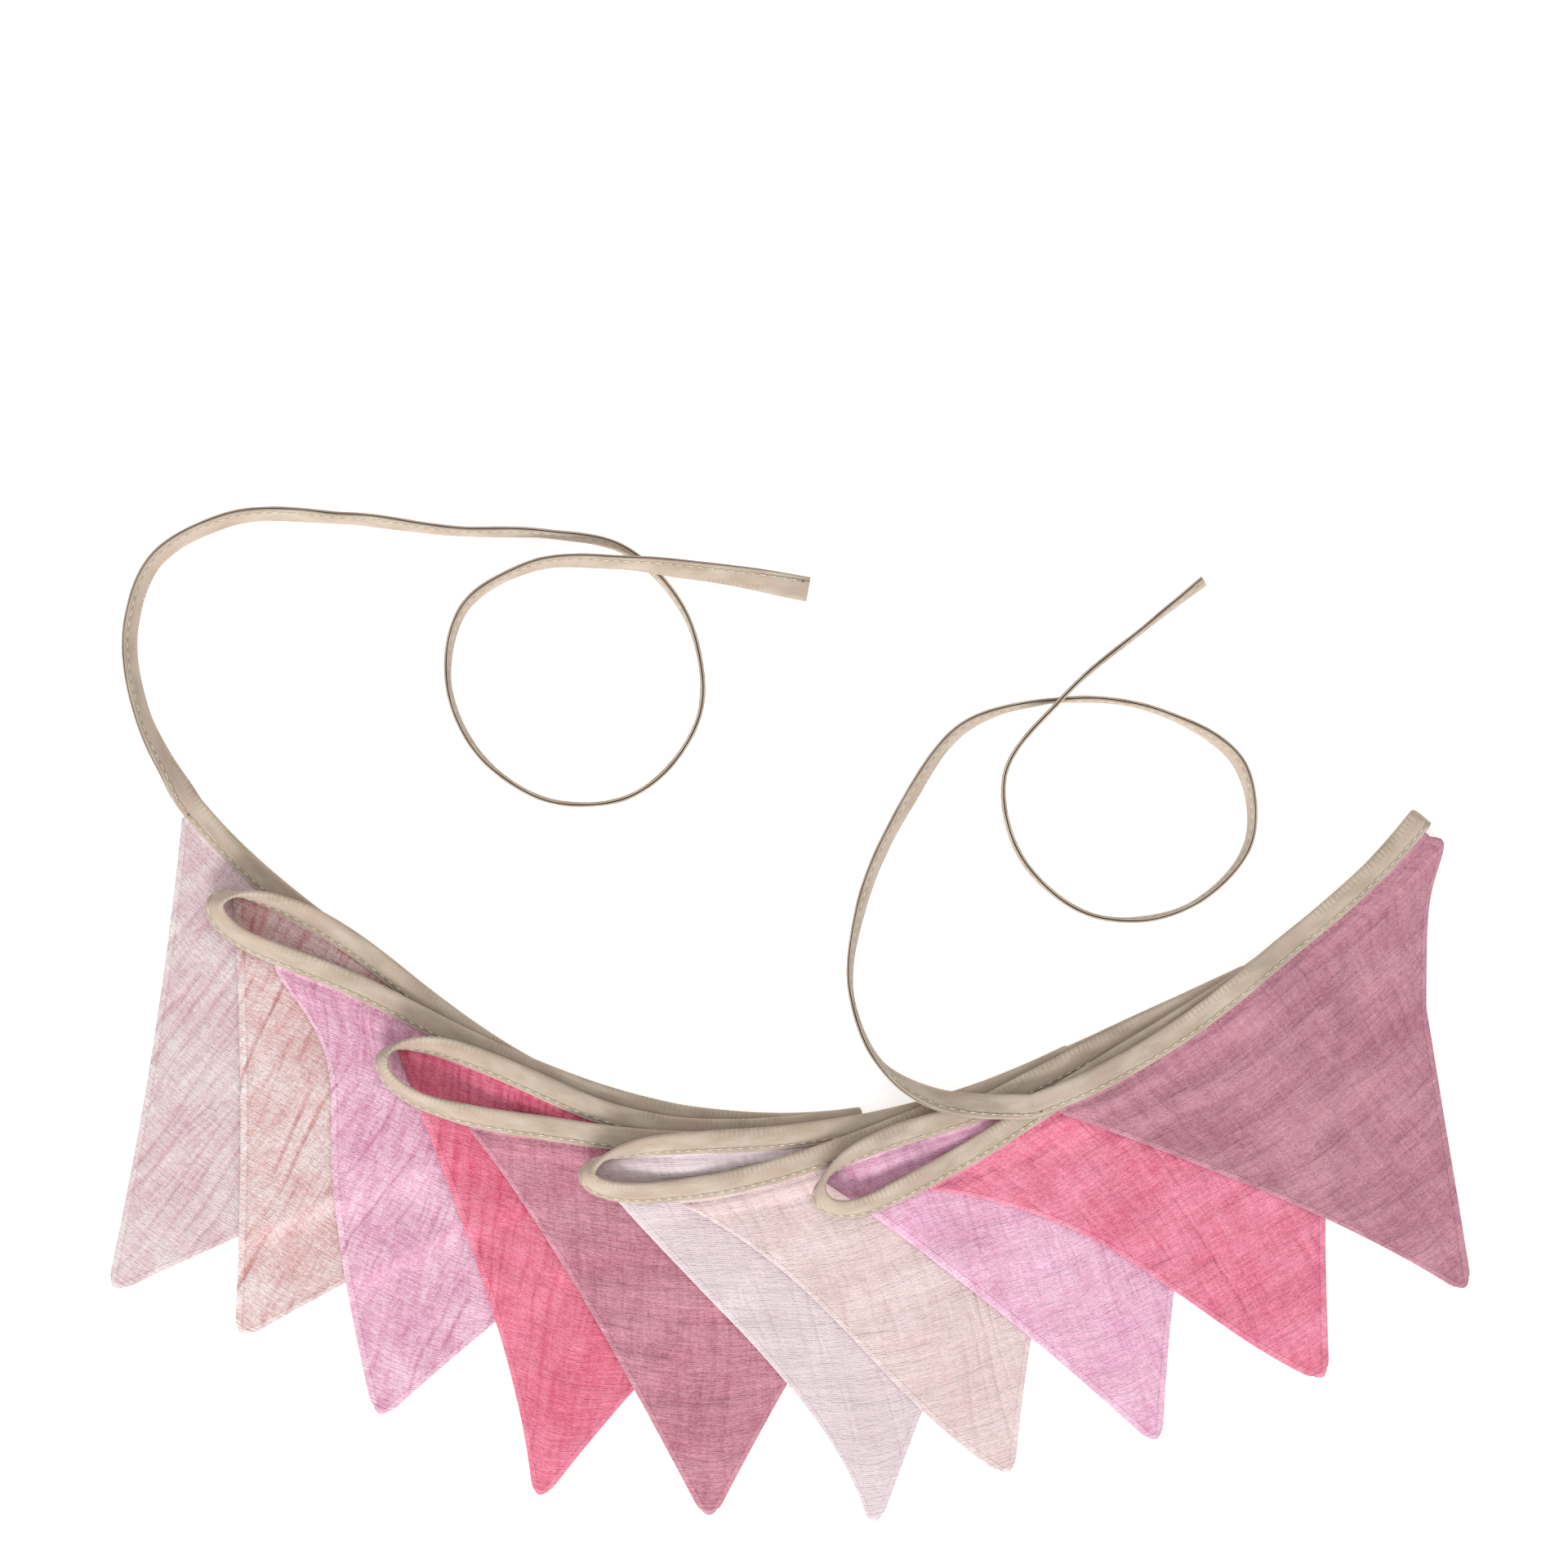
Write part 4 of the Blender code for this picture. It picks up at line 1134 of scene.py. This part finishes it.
def muslin_material(pennant):
    """u runs along the tape and v down the cloth, and the tone goes from light to deep."""
    n = Nodes(pennant.name + "_muslin")
    slant = math.atan(pennant.slant)
    place = n.flat((1.0, 1.0))
    v = n.axis(place, 1)
    drift = n.noise(n.flat((36.0, 16.0)), 1.0)
    drifted = n.plus(v, n.times(drift, 2.6))
    rows = n.math("SINE", n.times(drifted, 2 * math.pi / ROW_PITCH))
    dashes = n.ramp(n.noise(n.flat((1.4, 0.6)), 1.0, 0.6), 0.34, 0.66)
    weave = n.times(n.plus(n.times(rows, 0.5), 0.5), dashes)
    crepe = n.ramp(n.noise(n.flat((6.5, 1.1)), 1.5, 0.55), 0.30, 0.70)
    slub = n.ramp(n.noise(n.flat((0.9, 9.0), slant), 1.0), 0.42, 0.66)
    patch = n.ramp(n.noise(n.flat((34.0, 26.0)), 3.0, 0.60), 0.30, 0.72)
    streak = n.ramp(n.noise(n.flat((4.5, 26.0), slant), 2.0, 0.55), 0.34, 0.68)
    band = n.ramp(n.noise(n.flat((60.0, 9.0)), 2.0, 0.5), 0.34, 0.66)
    sway = n.attribute("sway")
    # Creases and crinkles are sunk lines, and the colour is darkened along them as painted shade.
    creases = n.times(n.comb(sway, CREASE_PITCH, 1.5), n.attribute("crease"))
    second = n.plus(sway, n.times(n.noise(n.flat((12.0, 28.0)), 1.0), 9.0))
    comes = n.ramp(n.noise(n.flat((5.0, 22.0), slant), 1.0), 0.42, 0.68)
    comes = n.times(comes, pennant.crinkle)
    crinkles = n.times(n.comb(second, CRINKLE_PITCH, 1.1), comes)
    tone = n.math("MULTIPLY_ADD", patch, 0.20, 0.06)
    for part, share in (
        (streak, 0.08 + 0.10 * pennant.crinkle),
        (band, 0.22 * pennant.bands),
        # painted shade in the gathers' troughs
        (n.attribute("trough"), 0.50),
        (weave, 0.36),
        (crepe, 0.19),
        (slub, 0.08),
        # painted shade along the creases and crinkles
        (creases, 0.46),
        (crinkles, 0.18),
    ):
        tone = n.plus(tone, n.times(part, share))
    # Painted shade: the cloth is darker near the tape, the more so the more creased the pennant
    # is.
    shade_near_tape = n.less(n.ramp(v, -2.0, 34.0))
    tone = n.plus(tone, n.times(shade_near_tape, 0.18 * pennant.creases))
    hem = n.attribute("hem")
    allowance = n.less(n.ramp(hem, *ALLOWANCE))
    line = n.valley(n.times(n.math("SUBTRACT", hem, SEAM_LINE), 0.1), 0.05, 0.0)
    tone = n.math("SUBTRACT", tone, n.times(allowance, 0.16))
    tone = n.math("ADD", tone, n.times(line, 0.14), clamp=True)
    colour = n.mix(tone, linear(pennant.light), linear(pennant.deep))
    relief = None
    for part, depth in (
        (weave, 0.12),
        (crepe, 0.09),
        (band, 0.7 * pennant.bands),
        (crinkles, 0.15),
        (creases, 0.38),
        (line, 0.12),
    ):
        relief = n.bump(n.less(part), depth, relief)
    sheen = (("Sheen Weight", 0.1), ("Sheen Roughness", 0.6))
    return n.finish(colour, relief, (("Roughness", 0.95), *sheen))


def sheet_faces(rows, columns, turned):
    """Quads of a closed sheet: an upper grid, a lower grid after it, and a rim between them."""
    i, j = np.meshgrid(np.arange(rows - 1), np.arange(columns - 1), indexing="ij")
    a = i * columns + j
    upper = np.stack([a, a + columns, a + columns + 1, a + 1], -1).reshape(-1, 4)
    below = rows * columns
    lower = upper[:, ::-1] + below
    down, along = np.arange(rows) * columns, np.arange(columns)
    loop = np.concatenate(
        [along, down[1:] + columns - 1, along[-2::-1] + down[-1], down[-2:0:-1]]
    )
    after = np.roll(loop, -1)
    rim = np.stack([loop, after, after + below, loop + below], -1)
    faces = np.concatenate([upper, lower, rim])
    return (faces[:, ::-1] if turned else faces).tolist()


def pennant_mesh(pennant, grid, flat, looks):
    """The middle surface moved half the cloth's thickness to either side, thinner at its edge."""
    down = np.gradient(grid, axis=0)
    along = np.gradient(grid, axis=1)
    normal = normed(np.cross(along, down))
    turned = normal[..., 2].mean() < 0
    normal = -normal if turned else normal
    hem = dict(looks)["hem"]
    half = CLOTH / 2 * (1 - 0.55 * np.exp(-hem / 0.8))[:, :, None]
    points = np.concatenate([grid + half * normal, grid - half * normal]).reshape(-1, 3)
    uv = np.tile(flat.reshape(-1, 2), (2, 1))
    attributes = [(label, np.tile(values.ravel(), 2)) for label, values in looks]
    faces = sheet_faces(*grid.shape[:2], not turned)
    name = pennant.name + "_cloth"
    return mesh_object(name, points, faces, uv, muslin_material(pennant), attributes)


for number, pennant in enumerate(PENNANTS):
    cloth = pennant_mesh(pennant, *laid_pennants[number])
    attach(cloth, "root")
    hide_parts(pennant.name)

# ------------------------------------------------------------------ floor and light
# A white board under an even white sky. It glows a little, so that it looks white and the
# shadows on it stay faint. A large lamp at the front left shades the creases.

FLOOR_SIDE = 6.0
FLOOR_DROP = 0.1 * MM  # below the object, so that the two don't coincide
SKY_STRENGTH = 0.74
BOARD_LOOKS = (
    ("Base Color", (0.92, 0.92, 0.92, 1.0)),
    ("Roughness", 0.9),
    ("Specular IOR Level", 0.1),
    ("Emission Color", (1.0, 1.0, 1.0, 1.0)),
    ("Emission Strength", 0.42),
)

floor_mesh = bpy.data.meshes.new("floor")
corners = ((-1, -1), (1, -1), (1, 1), (-1, 1))
floor_points = [(x * FLOOR_SIDE / 2, y * FLOOR_SIDE / 2, -FLOOR_DROP) for x, y in corners]
floor_mesh.from_pydata(floor_points, [], [(0, 1, 2, 3)])
white = Nodes("white_board")
for socket, look in BOARD_LOOKS:
    white.surface.inputs[socket].default_value = look
floor_mesh.materials.append(white.material)
floor = bpy.data.objects.new("floor", floor_mesh)
scene.collection.objects.link(floor)

world = bpy.data.worlds.new("studio")
world.use_nodes = True
sky = world.node_tree.nodes["Background"].inputs
sky["Color"].default_value = (1.0, 1.0, 1.0, 1.0)
sky["Strength"].default_value = SKY_STRENGTH
scene.world = world

Lamp = namedtuple("Lamp", "name x y z side power")
LAMPS = (
    Lamp("front_left_box", -0.6, -2.3, 1.3, 1.2, 66.0),
    Lamp("top_box", 0.3, 0.6, 2.0, 1.5, 6.0),
)
for lamp in LAMPS:
    light = bpy.data.lights.new(lamp.name, "AREA")
    light.size = lamp.side
    light.energy = lamp.power
    box = bpy.data.objects.new(lamp.name, light)
    box.location = (lamp.x, lamp.y, lamp.z)
    box.rotation_mode = "QUATERNION"
    box.rotation_quaternion = (-box.location).to_track_quat("-Z", "Y")
    scene.collection.objects.link(box)

scene.view_settings.view_transform = "Standard"
